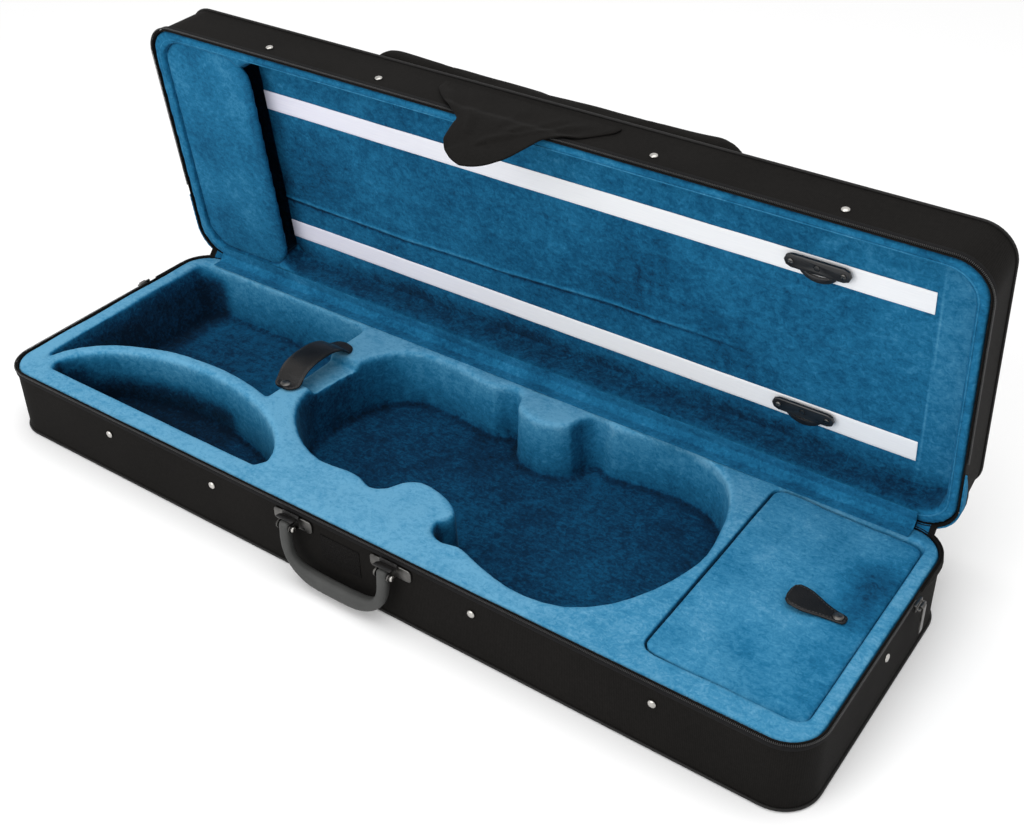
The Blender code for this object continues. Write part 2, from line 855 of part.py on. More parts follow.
def make_handle(grip_mat, metal):
    bm = bmesh.new()
    bridge(bm, grip_rows())
    grip = add_object("handle_grip", bm, grip_mat, None,
                      (handle_center_x, handle_axis_y(), handle_pin_height), smooth=soft_angle)
    ear_outer = handle_leg_width / 2 + ear_side_clearance + ear_thickness
    for side, label in ((-1, "left"), (1, "right")):
        x = handle_center_x + side * handle_span / 2
        axis = (x, handle_axis_y(), handle_pin_height)
        on_wall = (x, -half_width - fit_gap, handle_pin_height)
        bracket = make_bracket("handle_bracket_" + label, metal, on_wall)
        reach = ear_outer + cut_overrun
        for target in (grip, bracket):
            bm = bmesh.new()
            turned(bm, [(pin_radius + fit_gap, -reach), (pin_radius + fit_gap, reach)], facing((1, 0, 0)))
            cut(target, cutter("cut_pin_%s_%s" % (target.name, label), bm, None, axis))
        seat = ear_outer + fit_gap
        head = [(pin_head_radius, seat), (pin_head_radius, seat + pin_head_length / 2),
                (pin_head_crown, seat + pin_head_length)]
        profile = [(radius, -along) for radius, along in reversed(head)]
        profile += [(pin_radius, -seat), (pin_radius, seat)] + head
        bm = bmesh.new()
        turned(bm, profile, facing((1, 0, 0)), pin_steps)
        add_object("handle_pin_" + label, bm, metal, None, axis)


# Tacks

def make_tacks(metal, lid_frame):
    for number, share in enumerate(tack_x_shares, 1):
        x = case_length * share
        tack("base_tack_%d" % number, (x, -half_width - fit_gap, tack_base_height), (0, -1, 0), metal)
        lean = math.atan2(lid_taper, lid_height - cover_edge_radius)
        inward = tack_lid_height * math.tan(lean)
        tack("lid_tack_%d" % number, (x, -case_width + inward - fit_gap / math.cos(lean), tack_lid_height),
             (0, -math.cos(lean), math.sin(lean)), metal, lid_frame)
    for side, label in ((-1, "left"), (1, "right")):
        tack("base_tack_end_" + label, (side * (half_length + fit_gap), end_tack_y, tack_base_height),
             (side, 0, 0), metal)


# Zips: tapes, coils, sliders and pulls

def make_zip(cloth, plastic_mat, lid_frame):
    near = fit_gap
    far = fit_gap + zip_tape_thickness
    coil_out = fit_gap + coil_radius
    coil_top = base_rim
    tape_top = coil_top - 2 * coil_radius - fit_gap
    tape_low = tape_top - zip_tape_height
    tape = [(near, tape_low), (far, tape_low), (far, tape_top), (near, tape_top)]
    rim_band("base_zip_tape", tape, cloth, zip_end_from_hinge)
    rim_band("base_zip_coil", circle_section(coil_out, coil_top - coil_radius, coil_radius), plastic_mat,
             zip_end_from_hinge)
    low = rim_setback
    tape_low = low + 2 * coil_radius + fit_gap
    tape_top = tape_low + zip_tape_height
    tape = [(near, tape_low), (far, tape_low), (far, tape_top), (near, tape_top)]
    rim_band("lid_zip_tape", tape, cloth, zip_end_from_hinge, lid_frame, lid_mid_y)
    rim_band("lid_zip_coil", circle_section(coil_out, low + coil_radius, coil_radius), plastic_mat,
             zip_end_from_hinge, lid_frame, lid_mid_y)


def make_slider(name, location, turn, metal, parent=None):
    """A plate with an outer bar on two posts; local +X points away from the wall, Y along the zip."""
    half = slider_length / 2
    high = slider_height / 2
    depth = slider_plate + slider_tunnel + slider_bar
    bm = bmesh.new()
    box(bm, 0.0, depth, -half, half, -high, high)
    body = add_object(name, bm, metal, parent, location)
    body.rotation_euler = turn
    bm = bmesh.new()
    box(bm, slider_plate, slider_plate + slider_tunnel, -half + slider_post, half - slider_post,
        -high - cut_overrun, high + cut_overrun)
    cut(body, cutter("cut_tunnel_" + name, bm, body))
    bar_half = slider_bar / 2
    past = high + cut_overrun
    for label, z0, z1 in (("above", bar_half, past), ("below", -past, -bar_half)):
        bm = bmesh.new()
        box(bm, slider_plate, depth + cut_overrun, -half - cut_overrun, half + cut_overrun, z0, z1)
        cut(body, cutter("cut_%s_%s" % (label, name), bm, body))
    return body


def make_pull(name, slider, metal):
    """A round eye on the slider's bar, with a flat tongue that hangs from it."""
    axis_x = slider_plate + slider_tunnel + slider_bar / 2
    hole = slider_bar / math.sqrt(2) + fit_gap / 2
    outer = hole + pull_wall
    half = pull_width / 2
    inner_x = outer - pull_thickness
    start = -math.acos(inner_x / outer)
    profile = arc(0.0, 0.0, outer, start, -2 * math.pi, 12)
    profile += [(outer, -pull_length), (inner_x, -pull_length)]
    bm = bmesh.new()
    bridge(bm, [[Vector((x, -half, z)) for x, z in profile], [Vector((x, half, z)) for x, z in profile]])
    pull = add_object(name, bm, metal, slider, (axis_x, 0, 0))
    bm = bmesh.new()
    turned(bm, [(hole, -half - cut_overrun), (hole, half + cut_overrun)], facing((0, 1, 0)))
    cut(pull, cutter("cut_eye_" + name, bm, pull))
    return pull


def make_rim_sliders(metal):
    out = half_length + fit_gap + 2 * coil_radius + fit_gap
    y = half_width - zip_end_from_hinge - slider_length / 2
    z = base_rim - slider_height / 2
    for side, label in ((-1, "left"), (1, "right")):
        turn = (0, 0, 0 if side > 0 else math.pi)
        slider = make_slider("zip_slider_" + label, (side * out, y, z), turn, metal)
        make_pull("zip_pull_" + label, slider, metal)


# Lid: cover, shell, lining, tip panel and strips

def make_lid_body(cloth, board, velvet_mat, strip_mat, lid_frame):
    tray("lid_cover", 0.0, cover_thickness, cover_thickness, lid_height, rim_setback, cloth,
         cover_edge_radius, lid_frame, lid_mid_y, lid_taper)
    tray("lid_shell", layer_cover, shell_floor, shell_wall, lid_height - layer_cover,
         rim_setback + insert_flange + fit_gap, board, cover_edge_radius - layer_cover, lid_frame,
         lid_mid_y, lid_taper)
    top_draw = wall_draw(lid_height - cover_edge_radius, lid_taper)
    closed_ring("lid_piping", top_draw - cord_outside(), lid_height - piping_height, piping_radius, cloth,
                lid_frame, lid_mid_y)

    rim = 2 * rim_setback
    top = lid_height - layer_cover - shell_floor - fit_gap
    round_over = soft_edge / 2
    flange = layer_cover + wall_draw(rim_setback + insert_flange, lid_taper)
    ledge = rim_setback + insert_flange
    tangent = top - cover_edge_radius
    tangent_inset = layer_shell + wall_draw(tangent, lid_taper)
    loops = []
    for angle in quarter_steps(edge_steps)[::-1]:
        inset = flange + round_over * (1 - math.cos(angle))
        loops.append(at_height(case_outline(inset, lid_mid_y), rim + round_over * (1 - math.sin(angle))))
    loops += [
        at_height(case_outline(flange, lid_mid_y), rim + round_over),
        at_height(case_outline(flange, lid_mid_y), ledge),
        at_height(case_outline(layer_shell + wall_draw(ledge, lid_taper), lid_mid_y), ledge),
        at_height(case_outline(tangent_inset, lid_mid_y), tangent),
        at_height(case_outline(tangent_inset + cover_edge_radius, lid_mid_y), top),
    ]
    bm = bmesh.new()
    bridge(bm, loops)
    lining = add_object("lid_lining", bm, velvet_mat, lid_frame)

    x1 = half_length - lid_wall_width
    y0 = -case_width + lid_wall_width
    y1 = -lid_wall_width
    radius = corner_radius - lid_wall_width / 2
    hollow = rounded_rectangle(slot_edge - soft_floor_radius, x1, y0, y1, radius)
    cut(lining, lid_well("cut_lid_hollow", hollow, lid_floor_depth, rim, lid_soft_edge, lid_frame))
    panel = rounded_rectangle(-x1, tip_panel_edge + fit_gap, y0, y1, radius)
    panel_back = rim + tip_panel_sink + tip_panel_thickness + fit_gap
    cut(lining, lid_well("cut_tip_rabbet", panel, panel_back, rim, fit_gap, lid_frame, fit_gap))
    deep = rounded_rectangle(-x1 + tip_ledge, slot_edge, y0 + tip_ledge, y1 - tip_ledge, tip_ledge,
                             edge_steps)
    cut(lining, lid_well("cut_tip_slot", deep, slot_depth, rim, fit_gap, lid_frame, fit_gap))

    seat = rounded_rectangle(-x1 + 2 * fit_gap, tip_panel_edge, y0 + 2 * fit_gap, y1 - 2 * fit_gap, radius)
    back = rim + tip_panel_sink + tip_panel_thickness
    round_over = tip_panel_thickness / 3
    bm = bmesh.new()
    bridge(bm, [
        at_height(seat, back),
        at_height(seat, back - tip_panel_thickness + round_over),
        at_height(offset_outline(seat, -round_over), back - tip_panel_thickness),
    ])
    add_object("bow_tip_panel", bm, velvet_mat, lid_frame)

    for label, reach in (("upper", strip_upper_reach), ("lower", strip_lower_reach)):
        bm = bmesh.new()
        y_high = -reach + strip_width / 2
        box(bm, slot_edge + fit_gap, half_length - strip_from_end, y_high - strip_width, y_high,
            lid_floor_depth - fit_gap - strip_thickness, lid_floor_depth - fit_gap)
        add_object("bow_strip_" + label, bm, strip_mat, lid_frame)


def lid_well(name, outline, floor, rim, edge, lid_frame, floor_radius=soft_floor_radius):
    """A cutter that enters the lid from its rim side, with a rounded brim and a coved floor."""
    loops = [at_height(offset_outline(outline, -floor_radius), floor)]
    for angle in quarter_steps(edge_steps):
        inset = floor_radius * (1 - math.sin(angle))
        height = floor - floor_radius * (1 - math.cos(angle))
        loops.append(at_height(offset_outline(outline, -inset), height))
    for angle in quarter_steps(edge_steps):
        out = edge * (1 - math.cos(angle))
        loops.append(at_height(offset_outline(outline, out), rim + edge * (1 - math.sin(angle))))
    loops.append(at_height(offset_outline(outline, edge), rim - cut_overrun))
    bm = bmesh.new()
    bridge(bm, loops)
    return cutter(name, bm, lid_frame)


# Bow spinners

def stadium(half, radius, steps=small_corner_steps):
    quarter = math.pi / 2
    return (arc(half - radius, 0.0, radius, -quarter, quarter, steps)
            + arc(-half + radius, 0.0, radius, quarter, 3 * quarter, steps))


def make_spinners(plastic_mat, metal, lid_frame):
    strip_face = lid_floor_depth - fit_gap - strip_thickness
    foot_face = strip_face - fit_gap
    plate_back = foot_face - spinner_gap_height
    plate_face = plate_back - spinner_plate
    plate_middle = (plate_back + plate_face) / 2
    foot_x = spinner_length / 2 - spinner_width / 2
    places = (("upper", half_length - spinner_upper_from_end, strip_upper_reach + spinner_above_strip),
              ("lower", half_length - spinner_lower_from_end, strip_lower_reach + spinner_above_strip))
    screw_number = 0
    for label, x, reach in places:
        place = (x, -reach, 0)
        outline = stadium(spinner_length / 2, spinner_width / 2)
        round_over = spinner_plate / 4
        bm = bmesh.new()
        bridge(bm, [at_height(outline, plate_back), at_height(outline, plate_face + round_over),
                    at_height(offset_outline(outline, -round_over), plate_face)])
        plate = add_object("spinner_base_" + label, bm, plastic_mat, lid_frame, place)
        for side in (-1, 1):
            bm = bmesh.new()
            turned(bm, [(spinner_foot_radius, foot_face), (spinner_foot_radius, plate_middle)],
                   Matrix.Translation((side * foot_x, 0, 0)))
            fuse(plate, cutter("post_%s_%d" % (label, (side + 3) // 2), bm, lid_frame, place))
            screw_number += 1
            bm = bmesh.new()
            turned(bm, dome_profile(screw_radius, screw_height), facing((0, 0, -1)))
            add_object("spinner_screw_%d" % screw_number, bm, metal, lid_frame,
                       (x + side * foot_x, -reach, plate_face - fit_gap))
        bm = bmesh.new()
        turned(bm, [(spinner_pin_radius + fit_gap, plate_face - cut_overrun),
                    (spinner_pin_radius + fit_gap, plate_back + fit_gap)], Matrix.Identity(4))
        cut(plate, cutter("cut_spinner_" + label, bm, lid_frame, place))

        clip_mid = (foot_face + plate_back) / 2
        clip_low = clip_mid + spinner_clip_thickness / 2
        clip_high = clip_mid - spinner_clip_thickness / 2
        half = spinner_clip_length / 2
        bar = spinner_clip_bar
        outer = arc(0.0, 0.0, 1.0, 0, math.pi, pin_steps)
        outer = [(half * cx, bar / 2 + (spinner_clip_drop - bar / 2) * cy) for cx, cy in outer]
        outer += [(-half, -bar), (half, -bar)]
        bm = bmesh.new()
        bridge(bm, [at_height(outer, clip_low), at_height(outer, clip_high)])
        clip = add_object("spinner_clip_" + label, bm, plastic_mat, lid_frame, place)
        inner = arc(0.0, 0.0, 1.0, clip_hole_start, math.pi - clip_hole_start, pin_steps)
        reach_in = spinner_clip_drop - 2 * bar
        inner = [((half - bar) * cx, bar + (reach_in - bar / 2) * cy) for cx, cy in inner]
        bm = bmesh.new()
        bridge(bm, [at_height(inner, clip_low + fit_gap), at_height(inner, clip_high - fit_gap)])
        cut(clip, cutter("cut_clip_" + label, bm, lid_frame, place))
        bm = bmesh.new()
        turned(bm, [(spinner_pin_radius, clip_mid), (spinner_pin_radius, plate_face - fit_gap)],
               Matrix.Identity(4), pin_steps)
        fuse(clip, cutter("pin_" + label, bm, lid_frame, place))


# Music pocket

# Share of the pocket's height, and how far that ring is drawn in as a share of the width
pocket_ring_shares = ((0.0, 0.010), (0.10, 0.0), (0.48, 0.0), (0.70, 0.008), (0.83, 0.030),
                      (0.93, 0.075), (1.0, 0.160))


def make_music_pocket(cloth, plastic_mat, metal, lid_frame):
    half = pocket_length / 2
    y1 = -pocket_hinge_margin
    y0 = y1 - pocket_width
    loops = []
    bottom = lid_height + fit_gap
    for height, drawn in pocket_ring_shares:
        inset = pocket_width * drawn
        outline = rounded_rectangle(-half + inset, half - inset, y0 + inset, y1 - inset, pocket_radius)
        loops.append(at_height(outline, bottom + pocket_thickness * height))
    bm = bmesh.new()
    bridge(bm, loops)
    add_object("music_pocket", bm, cloth, lid_frame, smooth=soft_angle)

    face = bottom + pocket_thickness + fit_gap
    zip_y = y0 + pocket_zip_inset
    bm = bmesh.new()
    box(bm, -pocket_zip_length / 2, pocket_zip_length / 2, zip_y - pocket_zip_width / 2,
        zip_y + pocket_zip_width / 2, face, face + pocket_zip_thickness)
    add_object("pocket_zip", bm, plastic_mat, lid_frame)
    place = (-pocket_zip_length / 2 + slider_length, zip_y, face + pocket_zip_thickness + fit_gap)
    slider = make_slider("pocket_slider", place, (math.pi / 2, -math.pi / 2, 0), metal, lid_frame)
    make_pull("pocket_pull", slider, metal)


# Closing flap

# Where along its length the flap steps out over the rims, and where its tip settles back
flap_rise_shares = (0.26, 0.36)
flap_settle_shares = (0.62, 0.80)
flap_last_share = 0.996


def flap_half_width(share):
    """Half width along the flap: a soft S from the sewn edge, then an oval tip."""
    tip_start = 1 - flap_tip_length / flap_length
    if share <= tip_start:
        blend = (1 + math.cos(math.pi * share / tip_start)) / 2
        return flap_tip_width / 2 + (flap_width - flap_tip_width) / 2 * blend
    rest = (share - tip_start) / (1 - tip_start)
    return flap_tip_width / 2 * math.sqrt(max(0.0, 1 - rest * rest))


def make_flap(cloth, patch_mat, lid_frame):
    axis = bpy.data.objects.new("flap_axis", None)
    bpy.context.scene.collection.objects.link(axis)
    axis.parent = lid_frame
    axis.location = (flap_center_x, -case_width, flap_sewn_reach)
    rows = []
    lean = lid_taper / (lid_height - cover_edge_radius)
    for i in range(flap_steps + 1):
        share = min(i / flap_steps, flap_last_share)
        half = flap_half_width(share)
        drop = flap_length * share
        wall_out = -max(0.0, flap_sewn_reach - drop) * lean
        rise = smooth_share(*flap_rise_shares, share) * flap_step
        fall = smooth_share(*flap_settle_shares, share) * flap_tip_setback
        out = fit_gap + wall_out + rise - fall
        ring = []
        for k in range(flap_columns + 1):
            x = -half + 2 * half * k / flap_columns
            ring.append(Vector((x, -out, -drop)))
        for k in range(flap_columns, -1, -1):
            x = -half + 2 * half * k / flap_columns
            ring.append(Vector((x, -out - flap_thickness, -drop)))
        rows.append(ring)
    bm = bmesh.new()
    bridge(bm, rows)
    add_object("closure_flap", bm, cloth, axis)

    tip_out = fit_gap + flap_step - flap_tip_setback
    top = -(flap_length - flap_tip_length) - patch_below_tip_start
    bm = bmesh.new()
    box(bm, -patch_width / 2, patch_width / 2, -tip_out + fit_gap, -tip_out + fit_gap + patch_thickness,
        top - patch_length, top)
    add_object("flap_hook_patch", bm, patch_mat, axis)

    z_top = base_height + flap_sewn_reach + top
    bm = bmesh.new()
    box(bm, flap_center_x - patch_width / 2, flap_center_x + patch_width / 2,
        -half_width - fit_gap - patch_thickness / 2, -half_width - fit_gap, z_top - patch_length, z_top)
    add_object("base_loop_patch", bm, patch_mat)


# Cloth hinge, inner hinge strip and gussets

def make_hinge_cloth(cloth, velvet_mat, lid_frame):
    half = half_length - corner_radius
    along = Vector((math.sin(lid_open_angle), math.cos(lid_open_angle)))
    away = Vector((math.cos(lid_open_angle), -math.sin(lid_open_angle)))
    corner = Vector((half_width, base_height))

    def strip_point(distance, depth):
        """Distance runs from the base's wall over the bend and out under the lid's wall."""
        if distance <= 0:
            return Vector((corner.x + depth, corner.y + distance - web_bend_radius))
        if distance >= web_bend_radius * 2:
            run = distance - web_bend_radius
            return corner + along * run + away * depth
        t = distance / (web_bend_radius * 2)
        start = Vector((corner.x + depth, corner.y - web_bend_radius))
        middle = corner + Vector((depth, 0)) + away * depth * (1 - away.x)
        end = corner + along * web_bend_radius + away * depth
        return start * (1 - t) ** 2 + middle * 2 * t * (1 - t) + end * t * t

    stations = [-web_leg, 0.0]
    stations += [web_bend_radius * 2 * i / small_corner_steps for i in range(1, small_corner_steps + 1)]
    stations.append(web_leg)
    near = [strip_point(s, fit_gap) for s in stations]
    far = [strip_point(s, fit_gap + web_thickness) for s in stations]
    section = near + far[::-1]
    bm = bmesh.new()
    bridge(bm, [[Vector((x, p.x, p.y)) for p in section] for x in (-half, half)])
    add_object("hinge_web", bm, cloth)

    lean = Vector((-math.cos(lid_open_angle), math.sin(lid_open_angle)))
    face = Vector((-math.sin(lid_open_angle), -math.cos(lid_open_angle)))
    start = Vector((half_width - layer_cover - soft_edge, insert_top + fit_gap))
    fold = Vector((half_width - layer_cover, base_height)) + lean * soft_edge
    bottom_near = start - Vector((lining_leg, 0))
    bottom_far = start
    rim_face = fold + face * (fit_gap - 2 * rim_setback)
    top_near = rim_face + lean * lining_leg
    section = [bottom_near, bottom_far, rim_face, top_near, top_near + face * lining_thickness,
               rim_face + (face + lean) * lining_thickness,
               bottom_far + Vector((-lining_thickness, lining_thickness)),
               bottom_near + Vector((0, lining_thickness))]
    bm = bmesh.new()
    bridge(bm, [[Vector((x, p.x, p.y)) for p in section] for x in (-half, half)])
    add_object("hinge_lining", bm, velvet_mat)


def back_corner_run(reach):
    """Points and normals from the end wall round to the hinge side; y is measured from the hinge line."""
    straight = reach - corner_radius
    curved = corner_radius * gusset_wrap
    stations = []
    for i in range(gusset_steps + 1):
        run = (straight + curved) * i / gusset_steps
        if run <= straight:
            stations.append((Vector((half_length, run - reach)), Vector((1, 0))))
        else:
            angle = (run - straight) / corner_radius
            normal = Vector((math.cos(angle), math.sin(angle)))
            center = Vector((half_length - corner_radius, -corner_radius))
            stations.append((center + normal * corner_radius, normal))
    return stations


def make_gussets(velvet_mat):
    """Cloth leaves sewn to both rims beside the hinge and folded back round the open case's corners."""
    lid_matrix = Matrix.Translation((0, half_width, base_height)) @ Matrix.Rotation(-lid_open_angle, 4, "X")
    for side, label in ((-1, "left"), (1, "right")):
        lid_rows = []
        base_rows = []
        for i, (point, normal) in enumerate(back_corner_run(gusset_reach)):
            share = i / gusset_steps
            fullness = max(gusset_pinch_share, math.sin(math.pi * share))
            near = point + normal * fit_gap
            far = near + normal * gusset_thickness
            low = rim_setback
            high = low + gusset_width * fullness
            ring = [(near, low), (far, low), (far, high), (near, high)]
            lid_rows.append([lid_matrix @ Vector((side * p.x, p.y, z)) for p, z in ring])
            swollen = far + normal * gusset_bulge * fullness
            low = base_rim - gusset_width * fullness
            ring = [(near, base_rim), (far, base_rim), (swollen, (base_rim + low) / 2), (near, low)]
            base_rows.append([Vector((side * p.x, p.y + half_width, z)) for p, z in ring])
        bm = bmesh.new()
        bridge(bm, lid_rows + base_rows[::-1])
        add_object("gusset_" + label, bm, velvet_mat)


def build():
    clear_scene()
    cloth = material("black_nylon", black, 0.85)
    board = material("shell_foam", foam_gray, 0.9)
    velvet_mat = material("blue_velvet", velvet, 0.9)
    strip_mat = material("white_strip", white, 0.45)
    metal = material("nickel", nickel, 0.3, 1.0)
    grip_mat = material("handle_rubber", rubber, 0.6)
    plastic_mat = material("black_plastic", plastic, 0.35)
    leather = material("black_leather", plastic, 0.5)
    patch_mat = material("hook_and_loop", black, 0.95)

    lid_frame = bpy.data.objects.new("lid_frame", None)
    bpy.context.scene.collection.objects.link(lid_frame)
    lid_frame.location = (0, half_width, base_height)
    lid_frame.rotation_euler = (-lid_open_angle, 0, 0)

    make_base_body(cloth, board)
    make_insert(velvet_mat)
    make_accessory_lid(velvet_mat, leather, metal)
    make_strap(leather, metal)
    make_handle(grip_mat, metal)
    make_tacks(metal, lid_frame)
    make_zip(cloth, plastic_mat, lid_frame)
    make_rim_sliders(metal)
    make_lid_body(cloth, board, velvet_mat, strip_mat, lid_frame)
    make_spinners(plastic_mat, metal, lid_frame)
    make_music_pocket(cloth, plastic_mat, metal, lid_frame)
    make_flap(cloth, patch_mat, lid_frame)
    make_hinge_cloth(cloth, velvet_mat, lid_frame)
    make_gussets(velvet_mat)
    bpy.context.view_layer.update()


build()
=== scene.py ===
import math

import bmesh
import bpy
import numpy as np
from mathutils import Matrix, Vector


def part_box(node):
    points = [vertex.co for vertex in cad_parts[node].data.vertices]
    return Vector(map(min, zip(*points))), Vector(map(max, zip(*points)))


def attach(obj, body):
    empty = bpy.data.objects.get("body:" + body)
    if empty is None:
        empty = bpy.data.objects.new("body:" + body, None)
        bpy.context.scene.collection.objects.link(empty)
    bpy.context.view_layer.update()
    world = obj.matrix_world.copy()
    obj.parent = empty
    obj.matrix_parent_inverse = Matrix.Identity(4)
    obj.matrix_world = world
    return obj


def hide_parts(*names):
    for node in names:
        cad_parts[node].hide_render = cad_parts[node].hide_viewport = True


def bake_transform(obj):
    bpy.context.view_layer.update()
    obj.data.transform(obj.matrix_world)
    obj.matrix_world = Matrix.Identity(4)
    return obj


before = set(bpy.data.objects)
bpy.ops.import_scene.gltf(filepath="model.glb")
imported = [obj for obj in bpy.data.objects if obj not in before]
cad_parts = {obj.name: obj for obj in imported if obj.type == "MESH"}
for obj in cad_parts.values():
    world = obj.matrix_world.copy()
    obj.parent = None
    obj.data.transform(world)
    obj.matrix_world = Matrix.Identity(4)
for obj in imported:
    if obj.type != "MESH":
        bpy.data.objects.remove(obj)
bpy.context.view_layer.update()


# Camera and studio
# The photographer stood in front of the right end and looked down along the open case.
# A wide soft lamp hangs overhead and another stands in front; the pale floor and sky fill in the rest.

def shader_node(tree, kind, inputs=None, **settings):
    node = tree.nodes.new(kind)
    for name, value in settings.items():
        setattr(node, name, value)
    for key, value in (inputs or {}).items():
        if isinstance(value, bpy.types.NodeSocket):
            tree.links.new(value, node.inputs[key])
        else:
            node.inputs[key].default_value = value
    return node


def math_node(tree, operation, first, second):
    return shader_node(tree, "ShaderNodeMath", {0: first, 1: second}, operation=operation).outputs[0]


def seen_directly(tree):
    """1 for rays from the camera or off a shiny surface, and 0 for the light that falls on things."""
    path = shader_node(tree, "ShaderNodeLightPath").outputs
    shiny = math_node(tree, "MAXIMUM", path["Is Glossy Ray"], path["Is Transmission Ray"])
    return math_node(tree, "MAXIMUM", path["Is Camera Ray"], shiny)


def object_place(tree):
    """Where a point lies on its piece, in metres."""
    return shader_node(tree, "ShaderNodeTexCoord").outputs["Object"]


def into_scene(name, data):
    obj = bpy.data.objects.new(name, data)
    bpy.context.scene.collection.objects.link(obj)
    return obj


camera_data = bpy.data.cameras.new("camera")
camera_data.lens = 49.166
camera_data.sensor_width = 36
camera_data.shift_x = -0.0350
camera_data.shift_y = -0.0642
camera = into_scene("camera", camera_data)
camera.location = (0.60583, -0.70866, 0.77904)
camera.rotation_euler = (0.98277, 0.00798, 0.60040)
bpy.context.scene.camera = camera
bpy.context.scene.view_settings.view_transform = "Standard"

sky_level = 0.64
world = bpy.data.worlds.new("studio")
bpy.context.scene.world = world
world.use_nodes = True
sky = world.node_tree
background = sky.nodes["Background"]
background.inputs["Color"].default_value = (1, 1, 1, 1)
fill = math_node(sky, "MULTIPLY", seen_directly(sky), 1 - sky_level)
sky.links.new(math_node(sky, "ADD", fill, sky_level), background.inputs["Strength"])

for label, place, target, size, power in (
    ("overhead_lamp", (0.35, -0.05, 2.4), (0, 0, 0), 2.4, 32),
    ("front_lamp", (-0.4, -2.3, 1.3), (0, 0, 0.1), 2.2, 38),
):
    lamp = bpy.data.lights.new(label, "AREA")
    lamp.energy = power
    lamp.size = size
    holder = into_scene(label, lamp)
    holder.location = place
    holder.rotation_euler = (Vector(target) - Vector(place)).to_track_quat("-Z", "Y").to_euler()

floor_size = 6.0
fade_near, fade_far = 0.9, 2.2
paper_white = (0.80, 0.80, 0.80, 1)
full_white = (1, 1, 1, 1)
mesh = bpy.data.meshes.new("floor")
corners = [(-1, -1), (1, -1), (1, 1), (-1, 1)]
mesh.from_pydata([(x * floor_size, y * floor_size, 0) for x, y in corners], [], [(0, 1, 2, 3)])
floor = into_scene("floor", mesh)
paper = bpy.data.materials.new("studio_paper")
paper.use_nodes = True
tree = paper.node_tree
shader = tree.nodes["Principled BSDF"]
direct = seen_directly(tree)
shade = shader_node(tree, "ShaderNodeMix", {0: direct, 6: paper_white, 7: full_white}, data_type="RGBA")
tree.links.new(shade.outputs[2], shader.inputs["Base Color"])
shader.inputs["Roughness"].default_value = 1.0
shader.inputs["Specular IOR Level"].default_value = 0.0
away = shader_node(tree, "ShaderNodeVectorMath", {0: object_place(tree)}, operation="LENGTH").outputs["Value"]
far = shader_node(tree, "ShaderNodeMapRange", {"Value": away, "From Min": fade_near, "From Max": fade_far},
                  interpolation_type="SMOOTHSTEP").outputs[0]
glow = shader_node(tree, "ShaderNodeEmission", {"Color": full_white, "Strength": 1.0}).outputs[0]
faded = shader_node(tree, "ShaderNodeMixShader", {
    0: math_node(tree, "MULTIPLY", far, direct), 1: shader.outputs[0], 2: glow})
tree.links.new(faded.outputs[0], tree.nodes["Material Output"].inputs["Surface"])
mesh.materials.append(paper)


# Base cover
# Black nylon cloth is glued over the base's board walls and turned in round the rim.
# It lies a little uneven over the board and is drawn in round every tack.

half_length = 0.4015
half_width = 0.1255
base_height = 0.068
lid_height = 0.056
corner_radius = 0.030
lid_open = math.radians(84)
rim_setback = 0.0006
cover_thickness = 0.0014
cover_edge = 0.0045
corner_steps = 12
long_steps = 96
short_steps = 24
merge_distance = 1e-6
crease_angle = 40
cover_crease = 60

base_place = Matrix.Identity(4)
lid_place = (Matrix.Translation((0, half_width, base_height)) @ Matrix.Rotation(-lid_open, 4, "X")
             @ Matrix.Translation((0, -half_width, 0)))


def new_piece(name, points, faces, material, place=base_place, crease=crease_angle):
    """Makes a closed mesh at its place, facing outwards."""
    mesh = bpy.data.meshes.new(name)
    mesh.from_pydata([tuple(place @ Vector(point)) for point in points], [], faces)
    bm = bmesh.new()
    bm.from_mesh(mesh)
    bmesh.ops.remove_doubles(bm, verts=bm.verts, dist=merge_distance)
    bmesh.ops.recalc_face_normals(bm, faces=bm.faces)
    bm.to_mesh(mesh)
    bm.free()
    mesh.materials.append(material)
    mesh.shade_smooth()
    mesh.set_sharp_from_angle(angle=math.radians(crease))
    return into_scene(name, mesh)


def loft(name, rings, material, place=base_place, closed=False, crease=crease_angle):
    """Skins rings that have the same count of points, with flat ends unless the path is closed."""
    count = len(rings[0])
    points = [point for ring in rings for point in ring]
    faces = []
    spans = len(rings) if closed else len(rings) - 1
    for r in range(spans):
        low = r * count
        high = (r + 1) % len(rings) * count
        for i in range(count):
            j = (i + 1) % count
            faces.append((low + i, low + j, high + j, high + i))
    if not closed:
        faces.append(tuple(range(count))[::-1])
        faces.append(tuple(range(len(points) - count, len(points))))
    return new_piece(name, points, faces, material, place, crease)


def case_ring(inset, height, radius=None):
    """Points round the case's plan, drawn in by an inset; all rings have the same count."""
    x = half_length - inset
    y = half_width - inset
    r = max(corner_radius - inset, 0.001) if radius is None else radius
    ring = []
    corners = ((1, 1), (-1, 1), (-1, -1), (1, -1))
    for quarter, (sx, sy) in enumerate(corners):
        for i in range(corner_steps + 1):
            angle = (quarter + i / corner_steps) * math.pi / 2
            ring.append((sx * (x - r) + r * math.cos(angle), sy * (y - r) + r * math.sin(angle), height))
        nx, ny = corners[(quarter + 1) % 4]
        angle = (quarter + 1) * math.pi / 2
        start = ring[-1]
        end = (nx * (x - r) + r * math.cos(angle), ny * (y - r) + r * math.sin(angle))
        steps = long_steps if quarter % 2 == 0 else short_steps
        for i in range(1, steps):
            t = i / steps
            ring.append((start[0] + (end[0] - start[0]) * t, start[1] + (end[1] - start[1]) * t, height))
    return ring


def coordinates(obj):
    found = np.empty(len(obj.data.vertices) * 3)
    obj.data.vertices.foreach_get("co", found)
    return found.reshape(-1, 3)


